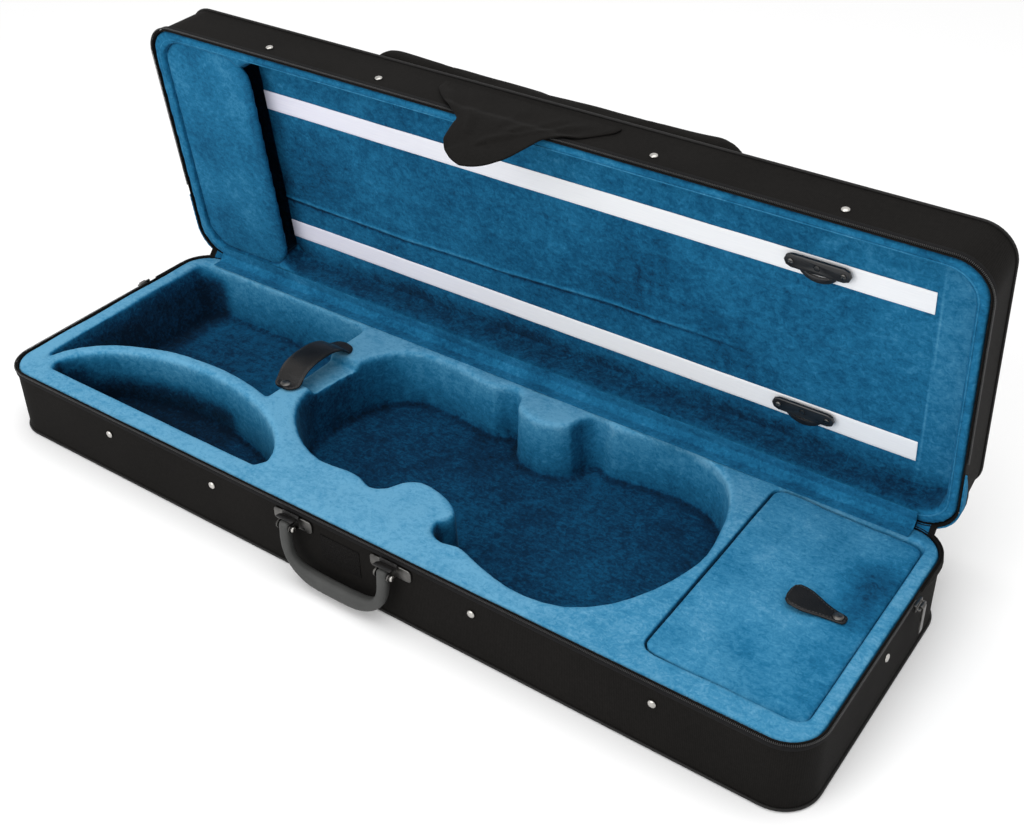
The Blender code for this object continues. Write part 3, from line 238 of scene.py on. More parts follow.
def normals(obj):
    found = np.empty(len(obj.data.vertices) * 3)
    obj.data.vertices.foreach_get("normal", found)
    return found.reshape(-1, 3)


def move_points(obj, points):
    obj.data.vertices.foreach_set("co", points.ravel())
    obj.data.update()


def waves(points, seed, length):
    """A smooth uneven field over points, about -1 to 1, whose swells are about one length apart."""
    rng = np.random.default_rng(seed)
    total = np.zeros(len(points))
    for _ in range(8):
        heading = rng.normal(size=3)
        heading *= 2 * math.pi / (np.linalg.norm(heading) * length * rng.uniform(0.7, 1.6))
        total += np.sin(points @ heading + rng.uniform(0, 2 * math.pi))
    return total / 3


def smooth_step(start, stop, value):
    t = np.clip((value - start) / (stop - start), 0, 1)
    return t * t * (3 - 2 * t)


def in_place(points, place):
    """World points seen from a piece's own place."""
    inverse = np.array(place.inverted())
    return points @ inverse[:3, :3].T + inverse[:3, 3]


def weave_map(obj, place=base_place):
    """Writes a UV map in metres, square on to the side that each face looks to."""
    mesh = obj.data
    local = in_place(coordinates(obj), place)
    turned = np.array(place.inverted())[:3, :3]
    facing = np.empty(len(mesh.polygons) * 3)
    mesh.polygons.foreach_get("normal", facing)
    main = np.abs(facing.reshape(-1, 3) @ turned.T).argmax(1)
    totals = np.empty(len(mesh.polygons), int)
    mesh.polygons.foreach_get("loop_total", totals)
    main = np.repeat(main, totals)
    corner = np.empty(len(mesh.loops), int)
    mesh.loops.foreach_get("vertex_index", corner)
    at = local[corner]
    across = np.where(main == 0, at[:, 1], at[:, 0])
    along = np.where(main == 2, at[:, 1], at[:, 2])
    layer = mesh.uv_layers.new(name="weave")
    layer.data.foreach_set("uv", np.column_stack((across, along)).ravel())


def principled(name, roughness, metallic=0.0, specular=0.5):
    made = bpy.data.materials.new(name)
    made.use_nodes = True
    shader = made.node_tree.nodes["Principled BSDF"]
    shader.inputs["Roughness"].default_value = roughness
    shader.inputs["Metallic"].default_value = metallic
    shader.inputs["Specular IOR Level"].default_value = specular
    return made, made.node_tree, shader


def color_ramp(tree, factor, stops):
    ramp = shader_node(tree, "ShaderNodeValToRGB", {"Fac": factor})
    elements = ramp.color_ramp.elements
    while len(elements) < len(stops):
        elements.new(0.5)
    for element, (place, color) in zip(elements, stops):
        element.position = place
        element.color = (*color, 1)
    return ramp.outputs["Color"]


def noise(tree, place, scale, detail, roughness=0.5, distortion=0.0):
    return shader_node(tree, "ShaderNodeTexNoise", {
        "Vector": place, "Scale": scale, "Detail": detail, "Roughness": roughness,
        "Distortion": distortion}).outputs["Fac"]


def colored(tree, shader, factor, stops):
    tree.links.new(color_ramp(tree, factor, stops), shader.inputs["Base Color"])


def bump(tree, shader, height, strength, distance):
    node = shader_node(tree, "ShaderNodeBump", {"Height": height, "Strength": strength, "Distance": distance})
    tree.links.new(node.outputs["Normal"], shader.inputs["Normal"])


def woven(name, dark, light, thread, roughness, sheen, gloss):
    """Plain weave on the UV map, with lint and faint wear."""
    made, tree, shader = principled(name, roughness, 0.0, gloss)
    weave = shader_node(tree, "ShaderNodeUVMap", uv_map="weave").outputs["UV"]
    halves = []
    for direction in ("X", "Y"):
        wave = shader_node(tree, "ShaderNodeTexWave", {
            "Vector": weave, "Scale": 1 / (thread * 6.4), "Distortion": 0.6, "Detail": 1.0},
            bands_direction=direction)
        halves.append(wave.outputs["Fac"])
    threads = math_node(tree, "MULTIPLY", halves[0], halves[1])
    place = object_place(tree)
    lint = noise(tree, place, 320, 4.0)
    wear = noise(tree, place, 14, 5.0)
    mixed = math_node(tree, "MULTIPLY", threads, 0.35)
    for spots, amount in ((lint, 0.45), (wear, 0.35)):
        mixed = math_node(tree, "ADD", mixed, math_node(tree, "MULTIPLY", spots, amount))
    colored(tree, shader, mixed, ((0.25, dark), (0.95, light)))
    shader.inputs["Sheen Weight"].default_value = sheen
    shader.inputs["Sheen Roughness"].default_value = 0.45
    bump(tree, shader, threads, 0.5, thread / 3)
    return made


black_cloth = woven("black_cloth", (0.0038, 0.0035, 0.0031), (0.0135, 0.0122, 0.0113),
                    0.0007, 0.85, 0.010, 0.06)

tack_x = (-0.2626, -0.1373, 0.1309, 0.2859)
tack_heights = {"base": 0.046, "lid": 0.0195}
dimple_depth = 0.0005
dimple_reach = 0.007
cover_swell = 0.00035
swell_length = 0.09
swell_margin = 0.02
swell_limit = 0.0001
cover_middle = 0.10
wall_rows = 9
round_steps = 5


def corner_profile(inset, height, radius, start, stop, up):
    """An arc in (inset, height), about a centre that lies inside the wall."""
    profile = []
    for i in range(round_steps + 1):
        angle = start + (stop - start) * i / round_steps
        profile.append((inset + radius * (1 - math.cos(angle)), height + up * radius * math.sin(angle)))
    return profile


def wall_profile(start, end):
    (i0, h0), (i1, h1) = start, end
    return [(i0 + (i1 - i0) * k / wall_rows, h0 + (h1 - h0) * k / wall_rows) for k in range(1, wall_rows)]


def cover_profile(top, taper, up):
    """The section of a cover from the middle of its outside, over the rim, to the middle of its inside."""
    quarter = math.pi / 2
    far = top if up < 0 else 0.0
    rim = rim_setback if up < 0 else base_height - rim_setback
    lip = cover_thickness / 2
    outer = corner_profile(taper, far + up * cover_edge, cover_edge, quarter, 0, -up)
    rim_round = corner_profile(0.0, rim - up * lip, lip, 0, 2 * quarter, up)
    inner_edge = cover_edge - cover_thickness
    floor_height = far + up * cover_thickness
    inner = corner_profile(taper + cover_thickness, floor_height + up * inner_edge, inner_edge,
                           0, quarter, -up)
    profile = [(cover_middle, far)] + outer + wall_profile(outer[-1], rim_round[0]) + rim_round
    return profile + wall_profile(rim_round[-1], inner[0]) + inner + [(cover_middle, floor_height)]


def make_cover(name, top, taper, up, place, tack_height, seed):
    rings = [case_ring(inset, height) for inset, height in cover_profile(top, taper, up)]
    cover = loft(name, rings, black_cloth, place, crease=cover_crease)
    points = coordinates(cover)
    local = in_place(points, place)
    outside = normals(cover)
    amount = cover_swell * waves(local, seed, swell_length) * smooth_step(0.0, swell_margin, local[:, 2])
    amount *= smooth_step(0.0, swell_margin, top - local[:, 2])
    flat = np.abs((outside @ np.array(place)[:3, :3])[:, 2]) > 0.9
    amount[flat] = 0
    for x in tack_x:
        away = np.linalg.norm(local - (x, -half_width, tack_height), axis=1)
        amount -= dimple_depth * np.exp(-(away / dimple_reach) ** 2)
    from_side = np.minimum(half_length - np.abs(local[:, 0]), half_width - np.abs(local[:, 1]))
    amount[from_side > cover_edge] = 0
    move_points(cover, points + outside * np.minimum(amount, swell_limit)[:, None])
    weave_map(cover, place)
    return cover


base_cover = make_cover("base_cover_cloth", base_height, 0.0, 1, base_place, tack_heights["base"], 3)
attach(base_cover, "base")
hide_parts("base_cover")


# Piping
# A cord wrapped in black cloth is sewn along the base's bottom edge and the lid's outer edge.
# It guards the edges where the case rubs.

lid_taper = 0.003
piping_radius = 0.0012
piping_sides = 10
piping_out = 0.00052
piping_in = 0.0022
piping_cloth = woven("piping_cloth", (0.0050, 0.0047, 0.0045), (0.0180, 0.0170, 0.0160),
                     0.0005, 0.62, 0.02, 0.2)


def case_cord(name, inset, height, radius, sides, material, place, corner=None):
    """A round cord that follows the case's plan."""
    rings = []
    for k in range(sides):
        angle = 2 * math.pi * k / sides
        rings.append(case_ring(inset - radius * math.cos(angle), height + radius * math.sin(angle), corner))
    return loft(name, rings, material, place, closed=True)


def make_piping(name, inset, height, place, body, node):
    piping = case_cord(name, inset, height, piping_radius, piping_sides, piping_cloth, place)
    weave_map(piping, place)
    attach(piping, body)
    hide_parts(node)


make_piping("base_piping_cord", -piping_out, piping_in, base_place, "base", "base_piping")
make_piping("lid_piping_cord", lid_taper - piping_out, lid_height - piping_in, lid_place, "lid", "lid_piping")


# Board walls
# Stiff foam board stands inside the covers and gives the case its shape.
# The cloth outside and the velvet inside hide it.

def cells(tree, place, scale):
    return shader_node(tree, "ShaderNodeTexVoronoi", {"Vector": place, "Scale": scale}).outputs["Distance"]


foam, tree, shader = principled("foam_board", 0.95)
bubbles = cells(tree, object_place(tree), 420)
colored(tree, shader, bubbles, ((0.0, (0.22, 0.22, 0.21)), (0.8, (0.42, 0.42, 0.40))))
bump(tree, shader, bubbles, 0.4, 0.0006)
for name in ("base_shell", "lid_shell"):
    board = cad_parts[name]
    board.data.materials.clear()
    board.data.materials.append(foam)


# Base insert
# Moulded foam covered in blue velvet, with a violin-shaped hollow, a scroll pocket, a crescent pocket,
# a lowered neck saddle and an end compartment. The velvet is glued on and stretched over every brim.

insert_top = 0.0665
insert_voxel = 0.0020
insert_depth = 0.0565
insert_smoothing = 2
top_share = 0.1
packed_merge = 1e-5
brim_fold = ((0.175, 0.1135), (0.203, 0.1068), (0.2258, 0.0892), (0.2366, 0.0725), (0.2411, 0.0479),
             (0.2457, 0.0299))

# Velvet tones from deep painted shade up to the painted light of the top face.
velvet_colors = (
    (0.00, (0.0005, 0.0075, 0.020)), (0.18, (0.0016, 0.026, 0.066)), (0.38, (0.0040, 0.075, 0.165)),
    (0.58, (0.0110, 0.135, 0.270)), (0.78, (0.0420, 0.215, 0.375)), (1.00, (0.1150, 0.325, 0.495)))


def velvet(name, mottling=0.34, fibres=0.46):
    """Short blue velvet whose colour runs from dark to light by a painted attribute, which holds painted
    light and shade as well as the velvet's own uneven tone.
    """
    made, tree, shader = principled(name, 0.95, 0.0, 0.12)
    place = object_place(tree)
    painted_pile_and_shade = shader_node(tree, "ShaderNodeAttribute", attribute_name="pile").outputs["Fac"]
    patches = noise(tree, place, 55, 4.0, 0.6, 0.8)
    tufts = noise(tree, place, 240, 3.0, 0.6, 1.4)
    drawn = shader_node(tree, "ShaderNodeMapping", {"Vector": place, "Scale": (170, 340, 300)}).outputs[0]
    strands = noise(tree, drawn, 1.0, 2.0)
    value = math_node(tree, "ADD", painted_pile_and_shade, -mottling / 2 - fibres * 0.8)
    for uneven, amount in ((patches, mottling), (tufts, fibres), (strands, fibres * 0.6)):
        value = math_node(tree, "ADD", value, math_node(tree, "MULTIPLY", uneven, amount))
    colored(tree, shader, value, velvet_colors)
    shader.inputs["Sheen Weight"].default_value = 0.12
    shader.inputs["Sheen Roughness"].default_value = 0.4
    shader.inputs["Sheen Tint"].default_value = (0.15, 0.62, 1.0, 1)
    bump(tree, shader, tufts, 0.45, 0.0008)
    return made


blue_velvet = velvet("blue_velvet")


def packed_copy(name, node, material):
    """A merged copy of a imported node's mesh."""
    bm = bmesh.new()
    bm.from_mesh(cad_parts[node].data)
    bmesh.ops.remove_doubles(bm, verts=bm.verts, dist=packed_merge)
    mesh = bpy.data.meshes.new(name)
    bm.to_mesh(mesh)
    bm.free()
    mesh.materials.clear()
    mesh.materials.append(material)
    mesh.shade_smooth()
    mesh.set_sharp_from_angle(angle=math.radians(crease_angle))
    return into_scene(name, mesh)


def settle(obj):
    """Turns what an object's modifiers make into its plain mesh."""
    bpy.context.view_layer.update()
    graph = bpy.context.evaluated_depsgraph_get()
    made = bpy.data.meshes.new_from_object(obj.evaluated_get(graph), depsgraph=graph)
    made.name = obj.name
    obj.modifiers.clear()
    obj.data = made
    return obj


def softened(name, node, material, voxel, rounds):
    """A packed soft solid with its edges rounded, as padding under cloth rounds them."""
    obj = packed_copy(name, node, material)
    remesh = obj.modifiers.new("remesh", "REMESH")
    remesh.mode = "VOXEL"
    remesh.voxel_size = voxel
    remesh.use_smooth_shade = True
    smooth = obj.modifiers.new("smooth", "SMOOTH")
    smooth.factor = 0.5
    smooth.iterations = rounds
    settle(obj)
    obj.data.materials.clear()
    obj.data.materials.append(material)
    obj.data.shade_smooth()
    return obj


# Stores the painted value that holds painted light and shade along with the velvet's own tone.
def paint_pile_and_shade(obj, values):
    layer = obj.data.attributes.new("pile", "FLOAT", "POINT")
    layer.data.foreach_set("value", np.clip(values, 0, 1).astype(np.float32))


def near_path(points, path):
    """Distance of points from a path of straight pieces, and the side on which they lie."""
    best = np.full(len(points), 1e9)
    side = np.zeros(len(points))
    for a, b in zip(path, path[1:]):
        a, b = np.array(a), np.array(b)
        run = b - a
        t = np.clip((points - a) @ run / (run @ run), 0, 1)
        offset = points - a - t[:, None] * run
        away = np.linalg.norm(offset, axis=1)
        nearer = away < best
        best[nearer] = away[nearer]
        cross = run[0] * offset[:, 1] - run[1] * offset[:, 0]
        side[nearer] = np.sign(cross)[nearer]
    return best, side


def velvet_folds(height, points, path, size, reach):
    """Adds a low ridge with a groove beside it along a path."""
    away, side = near_path(points, path)
    signed = away * side
    height += size * np.exp(-((signed - reach) / reach) ** 2)
    height -= size * 0.9 * np.exp(-((signed + reach) / reach) ** 2)


def roundness(obj, rounds):
    """How far each point stands out of its neighbours' level, above 0 on brims and below it in hollows."""
    edges = np.empty(len(obj.data.edges) * 2, int)
    obj.data.edges.foreach_get("vertices", edges)
    a, b = edges.reshape(-1, 2).T
    count = np.maximum(np.bincount(np.concatenate((a, b)), minlength=len(obj.data.vertices)), 1)

    def neighbours(values):
        total = np.bincount(a, values[b], len(count)) + np.bincount(b, values[a], len(count))
        return total / count

    points = coordinates(obj)
    middle = np.column_stack([neighbours(points[:, i]) for i in range(3)])
    found = ((points - middle) * normals(obj)).sum(1)
    for _ in range(rounds):
        found = (found + neighbours(found)) / 2
    return found / np.percentile(np.abs(found), 99)


insert = softened("base_insert_velvet", "base_insert", blue_velvet, insert_voxel, insert_smoothing)
points = coordinates(insert)
x = points[:, 0]
y = points[:, 1]
brims = roundness(insert, 3)
facing = normals(insert)
depth = np.clip((insert_top - points[:, 2]) / insert_depth, 0, 1)
level = smooth_step(0.35, 0.95, facing[:, 2])
top = level * (depth < top_share)

# Painted light and shade: walls that face the front or the left are painted light and darker downwards, and
# the hollows' floors are painted dark as shade.
toward_front = np.clip(-facing[:, 1], 0, 1)
toward_left = np.clip(-facing[:, 0], 0, 1)
wall = (0.22 + 0.52 * toward_front + 0.22 * toward_left) * (1 - 0.45 * depth) + 0.20 * np.exp(-depth / 0.08)
ground = 0.97 * np.exp(-(depth / 0.30) ** 2) + 0.17 * smooth_step(-0.32, -0.05, x) + 0.05
pile = level * np.minimum(ground, 0.97) + (1 - level) * wall

# The top is darker towards the right end and the back.
pile -= 0.15 * smooth_step(0.08, 0.30, x) * top
pile -= 0.12 * smooth_step(0.085, 0.125, y) * top

# Painted light and shade: the scroll pocket's floor is painted lighter at the back, both pockets are painted
# dark at the left and front, and the deep left end darker still, as shade.
scroll_floor = (1 - smooth_step(-0.205, -0.185, x)) * smooth_step(-0.015, 0.045, y)
pile += 0.24 * level * scroll_floor * smooth_step(0.4, 0.7, depth)
crescent = (1 - smooth_step(-0.215, -0.195, x)) * (1 - smooth_step(-0.02, 0.03, y))
pile *= 1 - 0.85 * crescent * smooth_step(0.35, 0.75, depth)
pile *= 1 - 0.70 * (1 - smooth_step(-0.365, -0.345, x)) * smooth_step(0.10, 0.40, depth)

# Brims get a painted highlight and hollows painted shade, and a fold runs round the cavity's right end,
# painted light on its ridge and dark in its groove.
pile += 0.16 * np.clip(brims, -1, 1) * (depth > 0.03)
pile += 0.04 * waves(points, 12, 0.12)
fold = np.zeros(len(points))
velvet_folds(fold, points[:, :2], brim_fold, 0.0010, 0.0016)
fold *= depth < 2 * top_share
paint_pile_and_shade(insert, pile + 160 * fold)
lift = (0.0004 * waves(points, 5, 0.05) * top + fold) * (depth < 0.12)
move_points(insert, points + np.array((0, 0, 1.0)) * lift[:, None])
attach(insert, "base")
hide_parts("base_insert")


# Accessory compartment lid
# A padded board covered in the same velvet, hinged along its left edge, with a leather pull tab
# that a nickel rivet holds. Its velvet is a little darker than the rim's, with painted shade in its dents and
# at its right end, where it sinks below the rim.

door_left = 0.262
door_length = 0.124
door_tilt = math.radians(2.0)
door_top = insert_top - 0.0006
door_place = Matrix.Translation((door_left, 0, door_top)) @ Matrix.Rotation(door_tilt, 4, "Y")
door_dents = ((0.098, 0.070, 0.020), (0.104, 0.030, 0.016), (0.108, -0.028, 0.014), (0.060, -0.070, 0.022))
dent_depth = 0.0006

door = softened("accessory_lid_velvet", "accessory_lid", blue_velvet, voxel=0.0015, rounds=2)
points = coordinates(door)
local = in_place(points, door_place)
up = smooth_step(-0.003, -0.0008, local[:, 2])
rise = 0.00045 * waves(local, 31, 0.045)
for x, y, size in door_dents:
    away = np.hypot(local[:, 0] - x, (local[:, 1] - y) * 0.7)
    rise -= dent_depth * np.exp(-(away / size) ** 2)
move_points(door, points + np.array((0, 0, 1.0)) * (rise * up)[:, None])
# Painted light and shade: the dents are painted darker and the swells lighter, and the velvet is painted
# darker towards the right end and in a patch there, as shade where the lid sinks below the rim.
pile = 0.74 + 0.05 * waves(local, 33, 0.05) + 60 * rise
pile -= 0.34 * np.exp(-((local[:, 0] - 0.108) / 0.018) ** 2 - ((local[:, 1] - 0.040) / 0.030) ** 2)
pile -= 0.10 * smooth_step(0.05, 0.12, local[:, 0])
paint_pile_and_shade(door, pile)
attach(door, "accessory_door")
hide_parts("accessory_lid")

leather, tree, shader = principled("black_leather", 0.36, 0.0, 0.22)
place = object_place(tree)
grain = cells(tree, place, 900)
scuffs = noise(tree, place, 60, 6.0)
colored(tree, shader, scuffs, ((0.3, (0.0035, 0.0033, 0.0034)), (0.75, (0.0120, 0.0110, 0.0105))))
bump(tree, shader, grain, 0.5, 0.0003)

edge_steps = 3


def ribbon(name, stations, thickness, material, columns=8, place=base_place, crown=0.0):
    """A strip with rounded edges. A station is its underside's middle, sideways, outwards and half width."""
    rings = []
    half_thick = thickness / 2
    for middle, sideways, outwards, half in stations:
        flat = max(half - half_thick, half * 0.2)
        middle = middle + outwards * half_thick
        ring = []
        for c in range(columns + 1):
            t = -1 + 2 * c / columns
            ring.append(middle + sideways * flat * t + outwards * (half_thick + crown * (1 - t * t)))
        for e in range(1, edge_steps):
            a = math.pi * e / edge_steps
            ring.append(middle + sideways * (flat + half_thick * math.sin(a))
                        + outwards * half_thick * math.cos(a))
        for c in range(columns, -1, -1):
            t = -1 + 2 * c / columns
            ring.append(middle + sideways * flat * t - outwards * half_thick)
        for e in range(edge_steps - 1, 0, -1):
            a = math.pi * e / edge_steps
            ring.append(middle - sideways * (flat + half_thick * math.sin(a))
                        + outwards * half_thick * math.cos(a))
        rings.append([tuple(point) for point in ring])
    return loft(name, rings, material, place, crease=cover_crease)


def directions(line):
    found = []
    for i in range(len(line)):
        found.append((line[min(i + 1, len(line) - 1)] - line[max(i - 1, 0)]).normalized())
    return found


def strip_along(line, sideways, half):
    """Stations for a ribbon along a line; half is its half width, or a list with one for each point."""
    halves = half if isinstance(half, list) else [half] * len(line)
    sideways = Vector(sideways)
    return [(point, sideways, run.cross(sideways).normalized(), wide)
            for point, run, wide in zip(line, directions(line), halves)]


def modifier_tree(name, inputs):
    """A node group for a modifier, with the identifiers of its named inputs and what they give."""
    tree = bpy.data.node_groups.new(name, "GeometryNodeTree")
    tree.is_modifier = True
    tree.interface.new_socket("Geometry", in_out="INPUT", socket_type="NodeSocketGeometry")
    sockets = {}
    for label, kind in inputs:
        made = tree.interface.new_socket(label, in_out="INPUT", socket_type="NodeSocket" + kind)
        sockets[label] = made.identifier
    tree.interface.new_socket("Geometry", in_out="OUTPUT", socket_type="NodeSocketGeometry")
    return tree, sockets, tree.nodes.new("NodeGroupInput").outputs


def tree_end(tree, geometry, material):
    painted = shader_node(tree, "GeometryNodeSetMaterial", {"Geometry": geometry, "Material": material})
    tree.links.new(painted.outputs[0], tree.nodes.new("NodeGroupOutput").inputs[0])


def apply_tree(mesh, tree, sockets, values):
    """Puts what a node group makes of a mesh in the scene."""
    obj = into_scene(mesh.name, mesh)
    modifier = obj.modifiers.new("made", "NODES")
    modifier.node_group = tree
    for label, value in values.items():
        modifier[sockets[label]] = value
    return settle(obj)


# A small rounded bead is repeated along a path, each one turned to the path's run.
row_tree, row_sockets, given = modifier_tree(
    "beads_along_a_path", (("Pitch", "Float"), ("Bead size", "Vector"), ("Material", "Material")))
curve = shader_node(row_tree, "GeometryNodeMeshToCurve", {0: given["Geometry"]}).outputs[0]
spaced = shader_node(row_tree, "GeometryNodeResampleCurve", {"Curve": curve, "Length": given["Pitch"]},
                     mode="LENGTH").outputs[0]
run = row_tree.nodes.new("GeometryNodeInputTangent").outputs[0]
turn = shader_node(row_tree, "FunctionNodeAlignRotationToVector", {"Vector": run}, axis="X").outputs[0]
bead = shader_node(row_tree, "GeometryNodeMeshUVSphere", {
    "Segments": 6, "Rings": 4, "Radius": 0.5}).outputs[0]
placed = shader_node(row_tree, "GeometryNodeInstanceOnPoints", {
    "Points": spaced, "Instance": bead, "Rotation": turn, "Scale": given["Bead size"]}).outputs[0]
real = shader_node(row_tree, "GeometryNodeRealizeInstances", {0: placed}).outputs[0]
smooth = shader_node(row_tree, "GeometryNodeSetShadeSmooth", {0: real}).outputs[0]
tree_end(row_tree, smooth, given["Material"])


def beads(name, path, pitch, size, material, closed=False, place=base_place):
    """A row of stitches or teeth as one plain mesh."""
    mesh = bpy.data.meshes.new(name)
    edges = [(i, i + 1) for i in range(len(path) - 1)]
    if closed:
        edges.append((len(path) - 1, 0))
    mesh.from_pydata([tuple(point) for point in path], edges, [])
    obj = apply_tree(mesh, row_tree, row_sockets, {
        "Pitch": pitch, "Bead size": size, "Material": material})
    obj.data.transform(place)
    return obj


black_thread, tree, shader = principled("black_thread", 0.6)
twist = noise(tree, object_place(tree), 1400, 2.0)
colored(tree, shader, twist, ((0.3, (0.018, 0.017, 0.017)), (0.7, (0.050, 0.048, 0.046))))
bump(tree, shader, twist, 0.4, 0.0002)

tab_inset = 0.0170
tab_right = door_length - tab_inset
tab_length = 0.046
tab_middle_y = 0.004
tab_half = 0.012
tab_thickness = 0.0016
tab_gap = 0.0003
tab_lift = 0.0035
tab_shares = (
    (0.00, 0.30, 1.00), (0.025, 0.72, 1.00), (0.09, 0.96, 0.98), (0.20, 1.00, 0.85), (0.32, 0.97, 0.66),
    (0.45, 0.83, 0.42), (0.58, 0.66, 0.20), (0.70, 0.54, 0.06), (0.80, 0.47, 0.0), (0.90, 0.43, 0.0),
    (0.97, 0.36, 0.0), (1.00, 0.20, 0.0))
tab_pitch = 0.0026
tab_stitch = (0.0018, 0.0005, 0.0005)
stitch_inset = 0.0022
stitch_height = 0.0001


def stitch_path(stations, thickness):
    """Up one side of a strip's outer face and down the other, a little in from its edges."""
    path = []
    for side in (1, -1):
        for point, sideways, outwards, half in stations[::side]:
            path.append(point + outwards * (thickness + stitch_height)
                        + sideways * side * max(half - stitch_inset, 0.001))
    return path


line = [Vector((tab_right - tab_length * (1 - along), tab_middle_y, tab_gap + tab_lift * lift))
        for along, across, lift in tab_shares]
stations = strip_along(line, (0, 1, 0), [tab_half * across for along, across, lift in tab_shares])
tab = ribbon("accessory_tab_leather", stations, tab_thickness, leather, place=door_place)
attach(tab, "accessory_door")
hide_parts("accessory_tab")
path = stitch_path(stations[1:-1], tab_thickness)
tab_stitches = beads("accessory_tab_stitches", path, tab_pitch, tab_stitch, black_thread, True, door_place)
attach(tab_stitches, "accessory_door")


# Neck strap
# A black leather strap arches over the violin's neck. It is sewn down behind the neck, and a snap
# in its front end presses on to a stud in the velvet.

strap_x = -0.162
strap_half = 0.014
strap_thickness = 0.0018
strap_front = -0.001
strap_back = 0.061
strap_end = 0.012
stitch_clearance = 0.001
strap_rise = 0.0135
strap_lift = insert_top + 0.0003
snap_rise = 0.0015
strap_crown = 0.0007
strap_pitch = 0.0028
strap_stitch = (0.0019, 0.0005, 0.0005)
bend_share = 0.3
tip_share = 0.35
arch_shares = ((0.0, 0.20), (0.06, 0.52), (0.16, 0.80), (0.32, 0.97), (0.5, 1.0), (0.68, 0.95), (0.84, 0.74),
               (0.94, 0.42), (1.0, 0.10))


def rounded_line(points, rounds):
    """Cuts a path's corners until it runs smoothly; its ends stay."""
    line = [Vector(point) for point in points]
    for _ in range(rounds):
        cut = [line[0]]
        for a, b in zip(line, line[1:]):
            cut += [a.lerp(b, 0.25), a.lerp(b, 0.75)]
        line = cut + [line[-1]]
    return line


arch = [(strap_front - strap_end, snap_rise), (strap_front - strap_end * bend_share, snap_rise)]
for share, height in arch_shares:
    arch.append((strap_front + (strap_back - strap_front) * share,
                 strap_rise * height + snap_rise * (1 - share)))
arch += [(strap_back + strap_end * bend_share, 0.0), (strap_back + strap_end, 0.0)]
line = rounded_line([(strap_x, y, strap_lift + z) for y, z in arch], 2)
halves = []
for point in line:
    rest = min((point - line[0]).length, (line[-1] - point).length) / strap_half
    full = math.sqrt(max(0.0, 1 - (1 - min(rest, 1)) ** 2))
    halves.append(strap_half * (tip_share + (1 - tip_share) * full))
stations = strip_along(line, (-1, 0, 0), halves)
strap = ribbon("neck_strap_leather", stations, strap_thickness, leather, crown=strap_crown)
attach(strap, "strap")
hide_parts("neck_strap")
sewn = [station for station in stations[1:-1] if station[0].y < strap_back + stitch_clearance]
path = stitch_path(sewn, strap_thickness)
strap_stitches = beads("neck_strap_stitches", path, strap_pitch, strap_stitch, black_thread, True)
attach(strap_stitches, "strap")


# Tacks, rivets, snap and screws
# Domed nickel heads hold the covers to the boards, the tab to its lid and the strap to its stud.
# Each is a turned head that is pressed or screwed in.

def metal(name, dark, light, roughness):
    made, tree, shader = principled(name, roughness, 1.0)
    haze = noise(tree, object_place(tree), 120, 5.0)
    colored(tree, shader, haze, ((0.3, dark), (0.7, light)))
    rough = shader_node(tree, "ShaderNodeMapRange", {"Value": haze, "From Min": 0.3, "From Max": 0.7,
                                                     "To Min": roughness * 0.7, "To Max": roughness * 1.4})
    tree.links.new(rough.outputs[0], shader.inputs["Roughness"])
    bump(tree, shader, haze, 0.1, 0.0002)
    return made


nickel = metal("nickel", (0.34, 0.33, 0.31), (0.56, 0.54, 0.51), 0.26)
dark_nickel = metal("dark_nickel", (0.045, 0.044, 0.042), (0.150, 0.145, 0.138), 0.34)

dome_shares = ((1.0, 0.0), (1.0, 0.12), (0.97, 0.30), (0.88, 0.55), (0.70, 0.78), (0.45, 0.93), (0.20, 0.99))
dome_sides = 20
tack_shape = (0.0034, 0.0016, 0.0)
rivet_shape = (0.0042, 0.0014, 0.0)
snap_shape = (0.0052, 0.0016, 0.0)
stud_shape = (0.0042, 0.0012, 0.0)


def make_head(name, radius, height, material, slot_width=0.0):
    """A turned dome with its flat side at the origin, facing up."""
    rings = []
    for across, up in dome_shares:
        rings.append([(radius * across * math.cos(2 * math.pi * k / dome_sides),
                       radius * across * math.sin(2 * math.pi * k / dome_sides), height * up)
                      for k in range(dome_sides)])
    head = loft(name, rings, material)
    if slot_width:
        for vertex in head.data.vertices:
            x, y, z = vertex.co
            if z > height * 0.5 and min(abs(x), abs(y)) < slot_width:
                vertex.co.z = z - height * 0.3
    return head


# One head is set on each point, turned to the point's facing.
stud_tree, stud_sockets, given = modifier_tree(
    "heads_on_points", (("Head", "Object"), ("Material", "Material")))
facing = shader_node(stud_tree, "GeometryNodeInputNamedAttribute", {"Name": "facing"},
                     data_type="FLOAT_VECTOR").outputs[0]
turn = shader_node(stud_tree, "FunctionNodeAlignRotationToVector", {"Vector": facing}, axis="Z").outputs[0]
head = shader_node(stud_tree, "GeometryNodeObjectInfo", {"Object": given["Head"]}).outputs["Geometry"]
placed = shader_node(stud_tree, "GeometryNodeInstanceOnPoints", {
    "Points": given["Geometry"], "Instance": head, "Rotation": turn}).outputs[0]
real = shader_node(stud_tree, "GeometryNodeRealizeInstances", {0: placed}).outputs[0]
tree_end(stud_tree, real, given["Material"])


def heads(name, seats, facing, shape, body, replaced, material=nickel):
    """One piece of like heads on a body; seats are the middles of their flat sides."""
    radius, height, slot_width = shape
    head = make_head(name + "_head", radius, height, material, slot_width)
    mesh = bpy.data.meshes.new(name)
    mesh.from_pydata([tuple(seat) for seat in seats], [], [])
    layer = mesh.attributes.new("facing", "FLOAT_VECTOR", "POINT")
    layer.data.foreach_set("vector", np.array([tuple(f) for f in facing], float).ravel())
    obj = apply_tree(mesh, stud_tree, stud_sockets, {"Head": head, "Material": material})
    bpy.data.objects.remove(head, do_unlink=True)
    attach(obj, body)
    if replaced:
        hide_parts(*replaced)


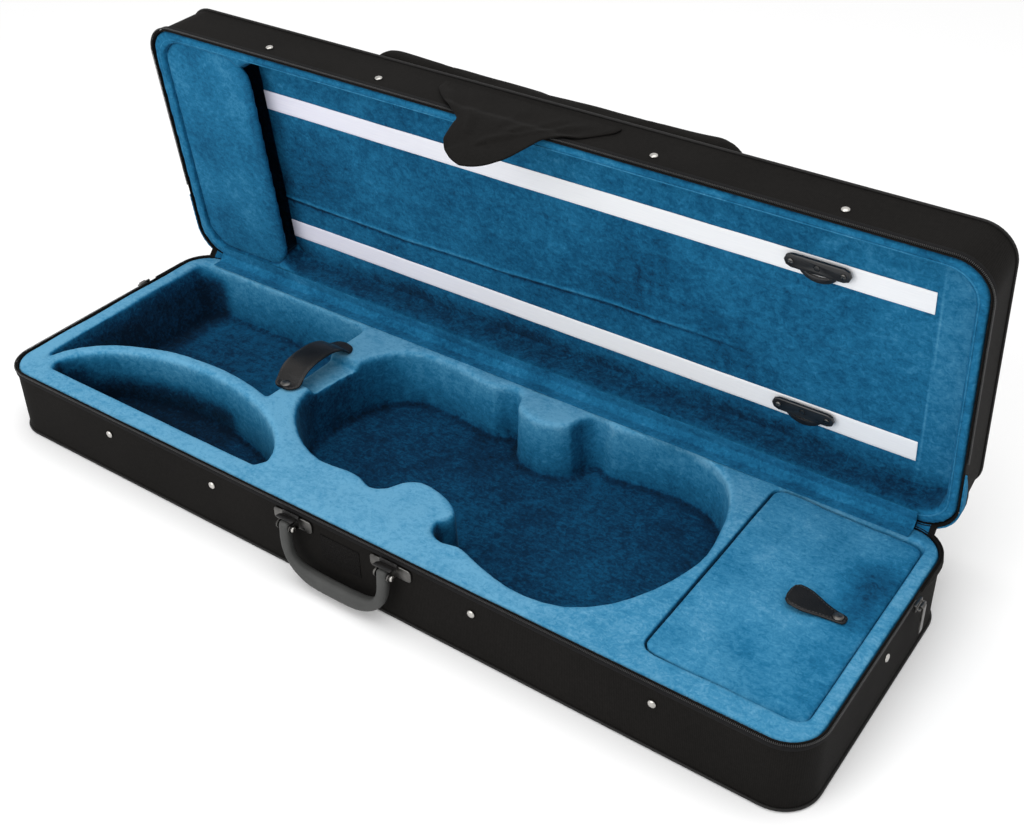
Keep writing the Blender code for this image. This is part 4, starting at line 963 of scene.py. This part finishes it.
def seat_of(node, facing):
    """The middle of a packed head's flat side."""
    low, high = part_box(node)
    facing = Vector(facing).normalized()
    middle = (low + high) / 2
    points = np.array([vertex.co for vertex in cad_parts[node].data.vertices])
    depth = (points @ np.array(facing)).min()
    return middle + facing * (depth - middle.dot(facing))


front = (0, -1, 0)
lid_turn = lid_place.to_3x3()
lid_lean = math.atan2(lid_taper, lid_height - cover_edge)
lid_front = lid_turn @ Vector((0, -math.cos(lid_lean), math.sin(lid_lean)))
names = ["base_tack_%d" % n for n in (1, 2, 3, 4)] + ["base_tack_end_left", "base_tack_end_right"]
facings = [front] * 4 + [(-1, 0, 0), (1, 0, 0)]
heads("base_tacks", [seat_of(n, f) for n, f in zip(names, facings)], facings, tack_shape, "base", names)
names = ["lid_tack_%d" % n for n in (1, 2, 3, 4)]
heads("lid_tacks", [seat_of(n, lid_front) for n in names], [lid_front] * 4, tack_shape, "lid", names)
door_up = door_place.to_3x3() @ Vector((0, 0, 1))
for name, node, facing, shape, body, material in (
    ("tab_rivet_head", "tab_rivet", door_up, rivet_shape, "accessory_door", dark_nickel),
    ("strap_snap_head", "strap_snap", (0, 0, 1), snap_shape, "strap", dark_nickel),
    ("strap_snap_seat", "strap_snap_stud", (0, 0, 1), stud_shape, "base", nickel),
):
    heads(name, [seat_of(node, facing)], [facing], shape, body, [node], material=material)


# Handle
# A soft moulded grip swings on two steel pins between the ears of pressed nickel brackets.
# A short leather band is wrapped over the top of each leg and pinned behind it.

grip_rubber, tree, shader = principled("grip_rubber", 0.62, 0.0, 0.35)
place = object_place(tree)
pores = noise(tree, place, 700, 3.0)
rub = noise(tree, place, 35, 5.0)
colored(tree, shader, rub, ((0.3, (0.026, 0.027, 0.026)), (0.7, (0.048, 0.049, 0.047))))
bump(tree, shader, pores, 0.35, 0.0003)

grip = softened("handle_grip_rubber", "handle_grip", grip_rubber, voxel=0.0008, rounds=4)
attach(grip, "handle")
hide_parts("handle_grip")

flat_angle = math.radians(2)
edge_angle = math.radians(40)
eased_angle = math.radians(50)


def eased(name, node, material, width, segments=2):
    """A packed hard piece with its edges eased, as pressing or moulding leaves them."""
    obj = packed_copy(name, node, material)
    bm = bmesh.new()
    bm.from_mesh(obj.data)
    bmesh.ops.dissolve_limit(bm, angle_limit=flat_angle, verts=bm.verts, edges=bm.edges)
    bm.to_mesh(obj.data)
    bm.free()
    bevel = obj.modifiers.new("eased", "BEVEL")
    bevel.width = width
    bevel.segments = segments
    bevel.limit_method = "ANGLE"
    bevel.angle_limit = edge_angle
    bevel.harden_normals = False
    settle(obj)
    obj.data.shade_smooth()
    obj.data.set_sharp_from_angle(angle=eased_angle)
    return obj


for side in ("left", "right"):
    for part in ("bracket", "pin"):
        node = "handle_%s_%s" % (part, side)
        piece = eased(node + "_metal", node, dark_nickel, 0.0002)
        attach(piece, "base")
        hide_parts(node)

pin_height = 0.0535
pin_reach = 0.1354
hood_radius = 0.0066
hood_half = 0.0085
hood_thickness = 0.0011
pin_dome = (0.0024, 0.0013, 0.0)
hood_root = Vector((0, -half_width - 0.0019, pin_height + hood_radius + 0.0015))
for side in ("left", "right"):
    low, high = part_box("handle_pin_" + side)
    middle = Vector(((low.x + high.x) / 2, 0, 0))
    line = [middle + hood_root]
    for degrees in range(150, 70, -10):
        angle = math.radians(degrees)
        line.append(middle + Vector((0, -pin_reach - hood_radius * math.cos(angle),
                                     pin_height + hood_radius * math.sin(angle))))
    hood = ribbon("handle_band_%s_leather" % side, strip_along(line, (1, 0, 0), hood_half), hood_thickness,
                  leather, 6)
    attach(hood, "base")
    end = Vector((high.x, -pin_reach, pin_height))
    heads("handle_pin_%s_dome" % side, [end], [(1, 0, 0)], pin_dome, "base", [])


# Rim zips
# A continuous coil zip runs round the front and both ends: one woven tape and coil on the base's
# rim and one on the lid's, with a slider at each side that joins them when the case is shut.

zip_stop = 0.072
coil_radius = 0.0009
coil_pitch = 0.0013
coil_gap = 0.0003
coil_tooth = (0.0009, 0.0019, 0.0019)
tape_thickness = 0.0009
tape_height = 0.0042
tape_cloth = woven("zip_tape_cloth", (0.0045, 0.0045, 0.0048), (0.0150, 0.0145, 0.0150),
                   0.0004, 0.85, 0.015, 0.08)
coil_plastic, tree, shader = principled("zip_coil_plastic", 0.3)
haze = noise(tree, object_place(tree), 200, 3.0)
colored(tree, shader, haze, ((0.3, (0.010, 0.010, 0.010)), (0.7, (0.022, 0.021, 0.020))))


def rim_path(out, height):
    """Round both ends and the front, from the back of the right end to the back of the left."""
    ring = case_ring(-out, height)
    kept = [Vector(point) for point in ring if point[1] <= half_width - zip_stop]
    return [point for point in kept if point.x < 0] + [point for point in kept if point.x >= 0]


def rim_zip(label, edge_height, inward, place, body):
    """inward is the way along the height from the rim to the tape."""
    middle = edge_height + inward * coil_radius
    teeth = beads(label + "_zip_teeth", rim_path(coil_gap + coil_radius, middle), coil_pitch, coil_tooth,
                  coil_plastic, place=place)
    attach(teeth, body)
    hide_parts(label + "_zip_coil")
    tape_edge = edge_height + inward * (2 * coil_radius + coil_gap)
    line = rim_path(coil_gap, tape_edge + inward * tape_height / 2)
    stations = strip_along(line, (0, 0, 1), tape_height / 2)
    tape = ribbon(label + "_zip_tape_cloth", stations, tape_thickness, tape_cloth, 4, place)
    weave_map(tape, place)
    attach(tape, body)
    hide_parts(label + "_zip_tape")


rim_zip("base", base_height - rim_setback, -1, base_place, "base")
rim_zip("lid", rim_setback, 1, lid_place, "lid")

for node, body in (("zip_slider_left", "slider_left"), ("zip_slider_right", "slider_right"),
                   ("zip_pull_left", "pull_left"), ("zip_pull_right", "pull_right"),
                   ("pocket_slider", "pocket_slider_body"), ("pocket_pull", "pocket_pull_body")):
    piece = eased(node + "_metal", node, dark_nickel, 0.0003)
    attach(piece, body)
    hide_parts(node)


# Lid cover
# The same black cloth lies over the lid's boards, glued and turned in at the rim. The lid's top is
# a little smaller than its rim, so its walls lean.

lid_cover = make_cover("lid_cover_cloth", lid_height, lid_taper, -1, lid_place, tack_heights["lid"], 7)
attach(lid_cover, "lid")
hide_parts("lid_cover")


# Lid lining
# Foam walls and a thin pad on the lid's floor, covered in velvet. The rim is a padded roll with a
# seam near its inner edge, and the floor's velvet has a lengthwise crease where it was folded.

lining_floor = 0.028
lining_voxel = 0.0024
lining_wall = 0.013
hollow_left = -0.291
floor_overlap = 0.0005
floor_columns = 420
floor_rows = 150
floor_thickness = 0.0012
floor_rise = 0.0002
deepest_fold = 0.0009
crease = ((-0.295, 0.0815), (-0.145, 0.0792), (-0.030, 0.0822), (0.084, 0.0878), (0.150, 0.0880),
          (0.215, 0.0870))
crease_depth = 0.0011
crease_reach = 0.0017
crease_start, crease_end = 0.10, 0.24
floor_folds = (
    (((-0.10, 0.150), (0.02, 0.158), (0.12, 0.152), (0.26, 0.160)), 0.0004, 0.0028),
    (((0.06, 0.118), (0.16, 0.113), (0.30, 0.122)), 0.0004, 0.0030),
    (((-0.25, 0.118), (-0.14, 0.124), (-0.02, 0.119)), 0.0003, 0.0030))
strip_places = {"upper": 0.1885, "lower": 0.0470}
strip_half = 0.00975
strip_ease = 0.006


def back_to_world(points, place):
    """Points of a piece's own place, seen from the world."""
    matrix = np.array(place)
    return points @ matrix[:3, :3].T + matrix[:3, 3]


lining = softened("lid_lining_velvet", "lid_lining", blue_velvet, lining_voxel, rounds=4)
points = coordinates(lining)
facing = normals(lining) @ np.array(lid_turn)
local = in_place(points, lid_place)
local[:, 2] += 0.0016 * smooth_step(0.0255, 0.0275, local[:, 2]) * (local[:, 0] > hollow_left + 0.001)
# Painted light and shade: the rim's face is painted mid blue, the walls darker with depth, the wall by the
# hinge darker still as painted shade, and the hollow under the bow-tip panel nearly black as painted shadow.
rim_face = smooth_step(0.25, 0.85, -facing[:, 2]) * (local[:, 2] < 0.012)
depth = np.clip(local[:, 2] / lining_floor, 0, 1)
wall = 0.48 - 0.10 * depth
wall = np.where(facing[:, 1] < -0.5, 0.22 + 0.16 * np.exp(-depth / 0.25), wall)
pile = rim_face * (0.54 + 0.05 * waves(local, 41, 0.08)) + (1 - rim_face) * wall
pile[(local[:, 0] < hollow_left) & (local[:, 2] > 0.012)] = 0.02
paint_pile_and_shade(lining, pile)
move_points(lining, back_to_world(local, lid_place))
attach(lining, "lid")
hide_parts("lid_lining")

floor_right = half_length - lining_wall + floor_overlap
u_low = lining_wall - floor_overlap
u_high = 2 * half_width - lining_wall + floor_overlap
xs = np.linspace(hollow_left, floor_right, floor_columns + 1)
us = np.linspace(u_low, u_high, floor_rows + 1)
grid_x, grid_u = np.meshgrid(xs, us)
flat_points = np.column_stack((grid_x.ravel(), grid_u.ravel()))
seeded = np.column_stack((flat_points, np.zeros(len(flat_points))))
relief = 0.00035 * waves(seeded, 51, 0.07) + 0.00015 * waves(seeded, 52, 0.018)
fold = np.zeros(len(flat_points))
velvet_folds(fold, flat_points, crease, crease_depth, crease_reach)
relief += fold * (1 - smooth_step(crease_start, crease_end, flat_points[:, 0]))
for path, size, width in floor_folds:
    velvet_folds(relief, flat_points, path, size, width)
for reach in strip_places.values():
    away = np.abs(flat_points[:, 1] - reach)
    relief *= smooth_step(strip_half, strip_half + strip_ease, away)
front_points = [(x, half_width - u, lining_floor - floor_rise - max(r, -deepest_fold))
                for (x, u), r in zip(flat_points, relief)]
back_points = [(x, y, lining_floor + floor_thickness) for x, y, z in front_points]
count = len(front_points)
columns = floor_columns + 1
faces = []
for row in range(floor_rows):
    for column in range(floor_columns):
        a = row * columns + column
        faces.append((a, a + 1, a + columns + 1, a + columns))
        faces.append((count + a, count + a + columns, count + a + columns + 1, count + a + 1))
for a in range(floor_columns):
    b = floor_rows * columns + a
    faces.append((a, count + a, count + a + 1, a + 1))
    faces.append((b, b + 1, count + b + 1, count + b))
for row in range(floor_rows):
    a = row * columns
    b = a + floor_columns
    faces.append((a, a + columns, count + a + columns, count + a))
    faces.append((b, count + b, count + b + columns, b + columns))
floor_velvet = velvet("floor_velvet", 0.42, 0.50)
lid_floor = new_piece("lid_floor_velvet", front_points + back_points, faces, floor_velvet, lid_place)
local = in_place(coordinates(lid_floor), lid_place)
u = half_width - local[:, 1]
x = local[:, 0]
height = lining_floor - local[:, 2]
# The floor's ridges are painted lighter and its hollows darker, as painted light and shade.
pile = 0.42 + 0.05 * waves(local, 61, 0.10) + 70 * np.clip(height, -0.001, 0.0012)

# The floor is painted dark as shade by the hinge and at the panel's slot, painted lighter to the front and
# right, and a little darker by the front wall as shade.
pile -= 0.22 * (1 - smooth_step(0.016, 0.036, u))
pile += 0.06 * smooth_step(0.10, 0.24, u) - 0.05 * smooth_step(0.225, 0.237, u)
pile += 0.10 * smooth_step(0.20, 0.36, x) - 0.10 * (1 - smooth_step(hollow_left, hollow_left + 0.021, x))

# A seam crosses the floor past the strips' right ends, with a painted highlight along it and the floor beyond
# it lighter, and the crease has a painted dark side and a painted light side.
from_seam = x - (0.3574 + 0.0033 * (u - 0.022) / 0.198)
pile += 0.08 * smooth_step(0.0, 0.004, from_seam) + 0.26 * np.exp(-(from_seam / 0.0009) ** 2)
away, side = near_path(np.column_stack((x, u)), crease)
sides = (0.20 * np.exp(-((away * side - 0.0016) / 0.0014) ** 2)
         - 0.22 * np.exp(-((away * side + 0.0016) / 0.0014) ** 2))
pile += sides * (1 - smooth_step(crease_start, crease_end, x))
paint_pile_and_shade(lid_floor, pile)
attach(lid_floor, "lid")

seam_radius = 0.0005
seam_sides = 8
seam_inset = 0.0090
seam_height = 0.0016
seam_corner = 0.0255
seam = case_cord("lid_rim_seam", seam_inset, seam_height, seam_radius, seam_sides, blue_velvet, lid_place,
                 seam_corner)
# The seam cord is painted lighter than the rim round it, as a painted highlight.
paint_pile_and_shade(seam, np.full(len(seam.data.vertices), 0.66))
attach(seam, "lid")


# Bow-tip panel
# A velvet-covered padded board closes the lid's left end. Its free edge stands off the floor and
# leaves the slot that the tips of the bows slide into.

panel_spread = 0.0020
panel_edge = 0.024
panel_brim = 0.014
panel = softened("bow_tip_panel_velvet", "bow_tip_panel", blue_velvet, voxel=0.0018, rounds=7)
points = coordinates(panel)
local = in_place(points, lid_place)
edge_side = smooth_step(half_width - panel_edge, half_width - panel_brim, np.abs(local[:, 1]))
local[:, 1] += panel_spread * edge_side * np.sign(local[:, 1])
local[:, 0] -= panel_spread * (1 - smooth_step(panel_brim, panel_edge, local[:, 0] + half_length))
move_points(panel, back_to_world(local, lid_place))
# The panel is painted darker towards its free edge, as shade over the slot.
paint_pile_and_shade(panel, 0.54 + 0.06 * waves(local, 71, 0.06) - 0.10 * smooth_step(-0.300, -0.284, local[:, 0]))
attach(panel, "lid")
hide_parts("bow_tip_panel")


# Satin strips
# Two white satin ribbons run along the lid's floor and keep the bows' hair off the velvet.
# They are hemmed at both edges and sewn down under tension.

strip_left = -0.2904
strip_right = 0.3555
strip_thickness = 0.0006
strip_height = 0.0004
strip_steps = 160
satin, tree, shader = principled("white_satin", 0.38, 0.0, 0.4)
place = object_place(tree)
threads = shader_node(tree, "ShaderNodeMapping", {"Vector": place, "Scale": (40, 2600, 2600)}).outputs[0]
streaks = noise(tree, threads, 1.0, 2.0)
# The strips are painted darker and bluer towards their left ends, as painted shade where they run in under
# the bow-tip panel.
lit_satin = color_ramp(tree, streaks, ((0.2, (0.89, 0.89, 0.91)), (0.8, (0.965, 0.965, 0.965))))
shaded_satin = color_ramp(tree, streaks, ((0.2, (0.74, 0.73, 0.87)), (0.8, (0.86, 0.85, 0.94))))
along = shader_node(tree, "ShaderNodeSeparateXYZ", {0: place}).outputs["X"]
fade = shader_node(tree, "ShaderNodeMapRange", {
    "Value": along, "From Min": -0.29, "From Max": 0.05}).outputs[0]
blended = shader_node(tree, "ShaderNodeMix", {0: fade, 6: shaded_satin, 7: lit_satin}, data_type="RGBA")
tree.links.new(blended.outputs[2], shader.inputs["Base Color"])
shader.inputs["Anisotropic"].default_value = 0.4
bump(tree, shader, streaks, 0.2, 0.0001)

for label, reach in strip_places.items():
    stations = []
    for i in range(strip_steps + 1):
        x = strip_left + (strip_right - strip_left) * i / strip_steps
        sag = 0.00012 * math.sin(x * 41 + reach * 90) + 0.00008 * math.sin(x * 97)
        middle = Vector((x, half_width - reach, lining_floor - strip_height + min(sag, 0.0001)))
        stations.append((middle, Vector((0, 1, 0)), Vector((0, 0, -1)), strip_half))
    strip = ribbon("bow_strip_%s_satin" % label, stations, strip_thickness, satin, 8, lid_place)
    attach(strip, "lid")
    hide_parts("bow_strip_" + label)


# Bow spinners
# Each bow holder is a moulded black plate screwed through the velvet, with a D-shaped clip that
# turns under it to lock the bow.

black_plastic, tree, shader = principled("black_plastic", 0.28, 0.0, 0.5)
haze = noise(tree, object_place(tree), 90, 6.0)
colored(tree, shader, haze, ((0.3, (0.008, 0.008, 0.008)), (0.75, (0.018, 0.017, 0.017))))
rough = shader_node(tree, "ShaderNodeMapRange", {"Value": haze, "To Min": 0.2, "To Max": 0.42}).outputs[0]
tree.links.new(rough, shader.inputs["Roughness"])
for label in ("upper", "lower"):
    for part, body in (("base", "lid"), ("clip", "clip_" + label)):
        node = "spinner_%s_%s" % (part, label)
        piece = eased(node + "_plastic", node, black_plastic, 0.0004, 3)
        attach(piece, body)
        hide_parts(node)
toward = lid_turn @ Vector((0, 0, -1))
screw_shape = (0.0024, 0.0012, 0.0005)
names = ["spinner_screw_%d" % n for n in (1, 2, 3, 4)]
heads("spinner_screws", [seat_of(n, toward) for n in names], [toward] * 4, screw_shape, "lid", names,
      material=dark_nickel)


# Music pocket
# A flat cloth pocket for sheet music is sewn to the lid's outside, bound round its edge, with a
# zip across its face. It is softly filled, so its faces swell between the seams.

pocket_zip_y = half_width - 0.190
pocket_zip_half = 0.140
pocket_zip_steps = 40
pocket_tape_half = 0.004
pocket_tape_thickness = 0.0006
pocket_tooth = (0.0009, 0.0030, 0.0010)
pocket_thickness = 0.019
pocket_gap = 0.0003
pocket_raise = 0.0030
pocket_pressure = 3.0
pocket_limit = 0.004
pocket_frames = 20


def swell(obj, pressure, limit, frames):
    """Blows a closed piece up as cloth, and keeps each point within a limit of where it was."""
    before = coordinates(obj)
    cloth = obj.modifiers.new("cloth", "CLOTH")
    cloth.settings.use_pressure = True
    cloth.settings.uniform_pressure_force = pressure
    cloth.settings.effector_weights.gravity = 0
    cloth.settings.quality = 6
    cloth.point_cache.frame_start = 1
    cloth.point_cache.frame_end = frames
    for number in range(1, frames + 1):
        bpy.context.scene.frame_set(number)
    settle(obj)
    bpy.context.scene.frame_set(1)
    shift = coordinates(obj) - before
    size = np.linalg.norm(shift, axis=1)
    shift *= np.minimum(1, limit / np.maximum(size, 1e-9))[:, None]
    return before, shift


pocket = softened("music_pocket_cloth", "music_pocket", black_cloth, voxel=0.0026, rounds=2)
local = in_place(coordinates(pocket), lid_place)
raised = smooth_step(0.195, 0.240, half_width - local[:, 1])
raised *= smooth_step(lid_height, lid_height + 0.004, local[:, 2])
local[:, 1] -= pocket_raise * raised
local[:, 2] += pocket_raise * raised
move_points(pocket, back_to_world(local, lid_place))


def away_from_zip(local):
    """0 at the pocket's zip, rising to 1 on the faces round it."""
    away = np.maximum(np.abs(local[:, 1] - pocket_zip_y), np.abs(local[:, 0]) - pocket_zip_half)
    return smooth_step(0.006, 0.030, away)


before, shift = swell(pocket, pocket_pressure, pocket_limit, pocket_frames)
local = in_place(before, lid_place)
keep = away_from_zip(local) * smooth_step(lid_height + 0.0015, lid_height + 0.008, local[:, 2])
move_points(pocket, before + shift * keep[:, None])
points = coordinates(pocket)
local = in_place(points, lid_place)
sag = 0.0006 * waves(local, 81, 0.07) * smooth_step(lid_height + 0.002, lid_height + 0.010, local[:, 2])
sag *= away_from_zip(local)
move_points(pocket, points + normals(pocket) * sag[:, None])
weave_map(pocket, lid_place)
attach(pocket, "lid")
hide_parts("music_pocket")

zip_face = lid_height + pocket_gap + pocket_thickness + pocket_gap
stations = []
for i in range(pocket_zip_steps + 1):
    x = -pocket_zip_half + 2 * pocket_zip_half * i / pocket_zip_steps
    stations.append((Vector((x, pocket_zip_y, zip_face)), Vector((0, -1, 0)), Vector((0, 0, 1)),
                     pocket_tape_half))
pocket_tape = ribbon("pocket_zip_tape_cloth", stations, pocket_tape_thickness, tape_cloth, 4, lid_place)
weave_map(pocket_tape, lid_place)
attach(pocket_tape, "lid")
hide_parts("pocket_zip")
path = [(station[0].x, pocket_zip_y, zip_face + pocket_tape_thickness) for station in stations]
pocket_teeth = beads("pocket_zip_teeth", path, coil_pitch, pocket_tooth, coil_plastic, place=lid_place)
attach(pocket_teeth, "lid")


# Closing flap
# Two layers of the black cloth over a thin stiffener, sewn to the lid's front wall with a tongue
# that fastens to the base by a patch of hooks and loops. It stands out stiffly when the lid is up.

flap_x = 0.0030
flap_sewn = 0.042
flap_length = 0.1072
flap_thickness = 0.0016
flap_rows = 96
flap_columns = 32
flap_out = 0.0003
flap_stand = 0.0022
tongue_in = 0.0004
flap_left_edge = (
    (0.0, -0.0830), (0.012, -0.0820), (0.025, -0.0680), (0.036, -0.0535), (0.044, -0.0420), (0.050, -0.0325),
    (0.062, -0.0295), (0.082, -0.0224), (0.094, -0.0125), (0.1035, 0.0006), (0.1072, 0.0110))
flap_right_edge = (
    (0.0, 0.0890), (0.007, 0.0885), (0.017, 0.0797), (0.029, 0.0694), (0.038, 0.0572), (0.0440, 0.0490),
    (0.0475, 0.0460), (0.054, 0.0450), (0.069, 0.0418), (0.084, 0.0380), (0.095, 0.0320), (0.101, 0.0270),
    (0.1056, 0.0205), (0.1072, 0.0130))
flap_creases = (
    (((-0.075, 0.004), (-0.052, 0.030), (-0.034, 0.058), (-0.020, 0.085)), 0.0011, 0.0045),
    (((-0.050, 0.006), (-0.030, 0.030), (-0.014, 0.060)), 0.0008, 0.0040),
    (((0.070, 0.004), (0.048, 0.028), (0.030, 0.050), (0.010, 0.072)), 0.0010, 0.0045),
    (((0.048, 0.005), (0.034, 0.026), (0.020, 0.046)), 0.0008, 0.0035),
    (((0.010, 0.010), (0.006, 0.040)), 0.0005, 0.0050))

drops = [flap_length * (1 - (1 - i / flap_rows) ** 1.3) for i in range(flap_rows + 1)]
left_x = np.interp(drops, *zip(*flap_left_edge))
right_x = np.interp(drops, *zip(*flap_right_edge))
for edge in (left_x, right_x):
    for _ in range(8):
        edge[1:-1] = (edge[:-2] + 2 * edge[1:-1] + edge[2:]) / 4
stations = []
for drop, left, right in zip(drops, left_x, right_x):
    share = drop / flap_length
    out = flap_out - max(0.0, flap_sewn - drop) * lid_taper / (lid_height - cover_edge)
    out += flap_stand * float(smooth_step(0.26, 0.36, share))
    out -= tongue_in * float(smooth_step(0.62, 0.80, share))
    stations.append((Vector(((left + right) / 2, -half_width - out, flap_sewn - drop)), Vector((1, 0, 0)),
                     Vector((0, -1, 0)), (right - left) / 2))
flap = ribbon("closure_flap_cloth", stations, flap_thickness, black_cloth, flap_columns, lid_place)
points = coordinates(flap)
local = in_place(points, lid_place)
away = flap_sewn - local[:, 2]
across = local[:, 0] - flap_x
fold = np.zeros(len(points))
flat_points = np.column_stack((across, away))
for path, size, width in flap_creases:
    velvet_folds(fold, flat_points, path, size, width)
fold += 0.0005 * waves(local, 91, 0.035)
fold = np.maximum(fold, -0.0003) * smooth_step(0.004, 0.020, away)
outwards = lid_turn @ Vector((0, -1, 0))
move_points(flap, points + np.array(outwards) * fold[:, None])
weave_map(flap, lid_place)
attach(flap, "flap")
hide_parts("closure_flap")


# Fastening patches
# A patch of stiff hooks is sewn under the flap's tongue. It grips a patch of loops on the base's
# front when the case is shut.

patch_pile, tree, shader = principled("patch_pile", 0.9, 0.0, 0.06)
loops = cells(tree, object_place(tree), 900)
colored(tree, shader, loops, ((0.0, (0.0150, 0.0140, 0.0135)), (0.7, (0.0045, 0.0042, 0.0040))))
bump(tree, shader, loops, 0.8, -0.0008)
for node, body in (("flap_hook_patch", "flap"), ("base_loop_patch", "base")):
    piece = eased(node + "_pile", node, patch_pile, 0.00012)
    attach(piece, body)
    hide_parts(node)


# Cloth hinge
# A strip of the black cloth joins the two covers along the back, and a velvet strip covers the
# joint inside. Both are glued to the base and to the lid, and are shaped here as they lie with the lid open.

hinge_half = half_length - corner_radius
hinge_point = Vector((0, half_width, base_height))
toward_lid = lid_turn @ Vector((0, 0, 1))
hinge_gap = 0.0003
hinge_thickness = 0.0010
hinge_columns = 120
web = []
for out, down in ((hinge_gap, 0.0200), (hinge_gap, 0.0120), (hinge_gap, 0.0050), (0.0006, 0.0012)):
    web.append(Vector((0, half_width + out, base_height - down)))
away = lid_turn @ Vector((0, 1, 0))
for run in (0.0016, 0.0050, 0.0120, 0.0200):
    web.append(hinge_point + toward_lid * run + away * hinge_gap)
stations = strip_along(rounded_line(web, 2), (-1, 0, 0), hinge_half)
web_cloth = ribbon("hinge_web_cloth", stations, hinge_thickness, black_cloth, hinge_columns)
weave_map(web_cloth)
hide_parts("hinge_web")
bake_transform(web_cloth)

lining_strip = softened("hinge_lining_velvet", "hinge_lining", blue_velvet, voxel=0.0005, rounds=2)
paint_pile_and_shade(lining_strip, 0.50 + 0.06 * waves(coordinates(lining_strip), 95, 0.05))
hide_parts("hinge_lining")
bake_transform(lining_strip)


# Corner gussets
# At each back corner a velvet-faced cloth leaf is sewn to both rims beside the hinge. It is built
# folded back round the corner as it lies with the lid open, and black binding closes its edge.

leaf_width = 0.014
leaf_reach = 0.070
binding_share = 0.70
web_radius = corner_radius - 0.0012
velvet_corner = 0.0190
web_sweep = 34
web_steps = 14
web_inset = 0.001
web_thickness = 0.0008
for side, sign in (("left", -1), ("right", 1)):
    leaf = softened("gusset_%s_velvet" % side, "gusset_" + side, blue_velvet, voxel=0.0006, rounds=3)
    local = in_place(coordinates(leaf), lid_place)
    paint_pile_and_shade(leaf, 0.62 + 0.08 * waves(local, 97, 0.03))
    leaf.data.materials.append(black_cloth)
    share = np.clip(1 - (half_width - local[:, 1]) / leaf_reach, 0, 1)
    bound = local[:, 2] > leaf_width * np.sin(math.pi * share) * binding_share
    bound |= coordinates(leaf)[:, 2] < base_height
    for face in leaf.data.polygons:
        face.material_index = int(bound[list(face.vertices)].mean() > 0.5)
    weave_map(leaf)
    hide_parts("gusset_" + side)
    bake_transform(leaf)

    stations = []
    for k in range(web_steps + 1):
        angle = math.radians(90 - web_sweep * k / web_steps)
        plan = Vector((sign * (half_length - corner_radius + web_radius * math.cos(angle)),
                       half_width - corner_radius + web_radius * math.sin(angle), base_height - web_inset))
        upper = lid_place @ Vector((plan.x, plan.y, web_inset))
        across = (upper - plan).normalized()
        facing = Vector((-1, 0, 0)).cross(across) * sign
        stations.append(((plan + upper) / 2, across, facing.normalized(),
                         (upper - plan).length / 2 + web_inset))
    corner_web = ribbon("corner_web_%s_cloth" % side, stations, web_thickness, blue_velvet, 4)
    paint_pile_and_shade(corner_web, 0.40 + 0.05 * waves(coordinates(corner_web), 98, 0.02))
    corner_web.data.materials.append(black_cloth)
    for face in corner_web.data.polygons:
        face.material_index = int(abs(face.center.x) > half_length - velvet_corner or face.normal.y > 0)
    weave_map(corner_web)
    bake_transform(corner_web)
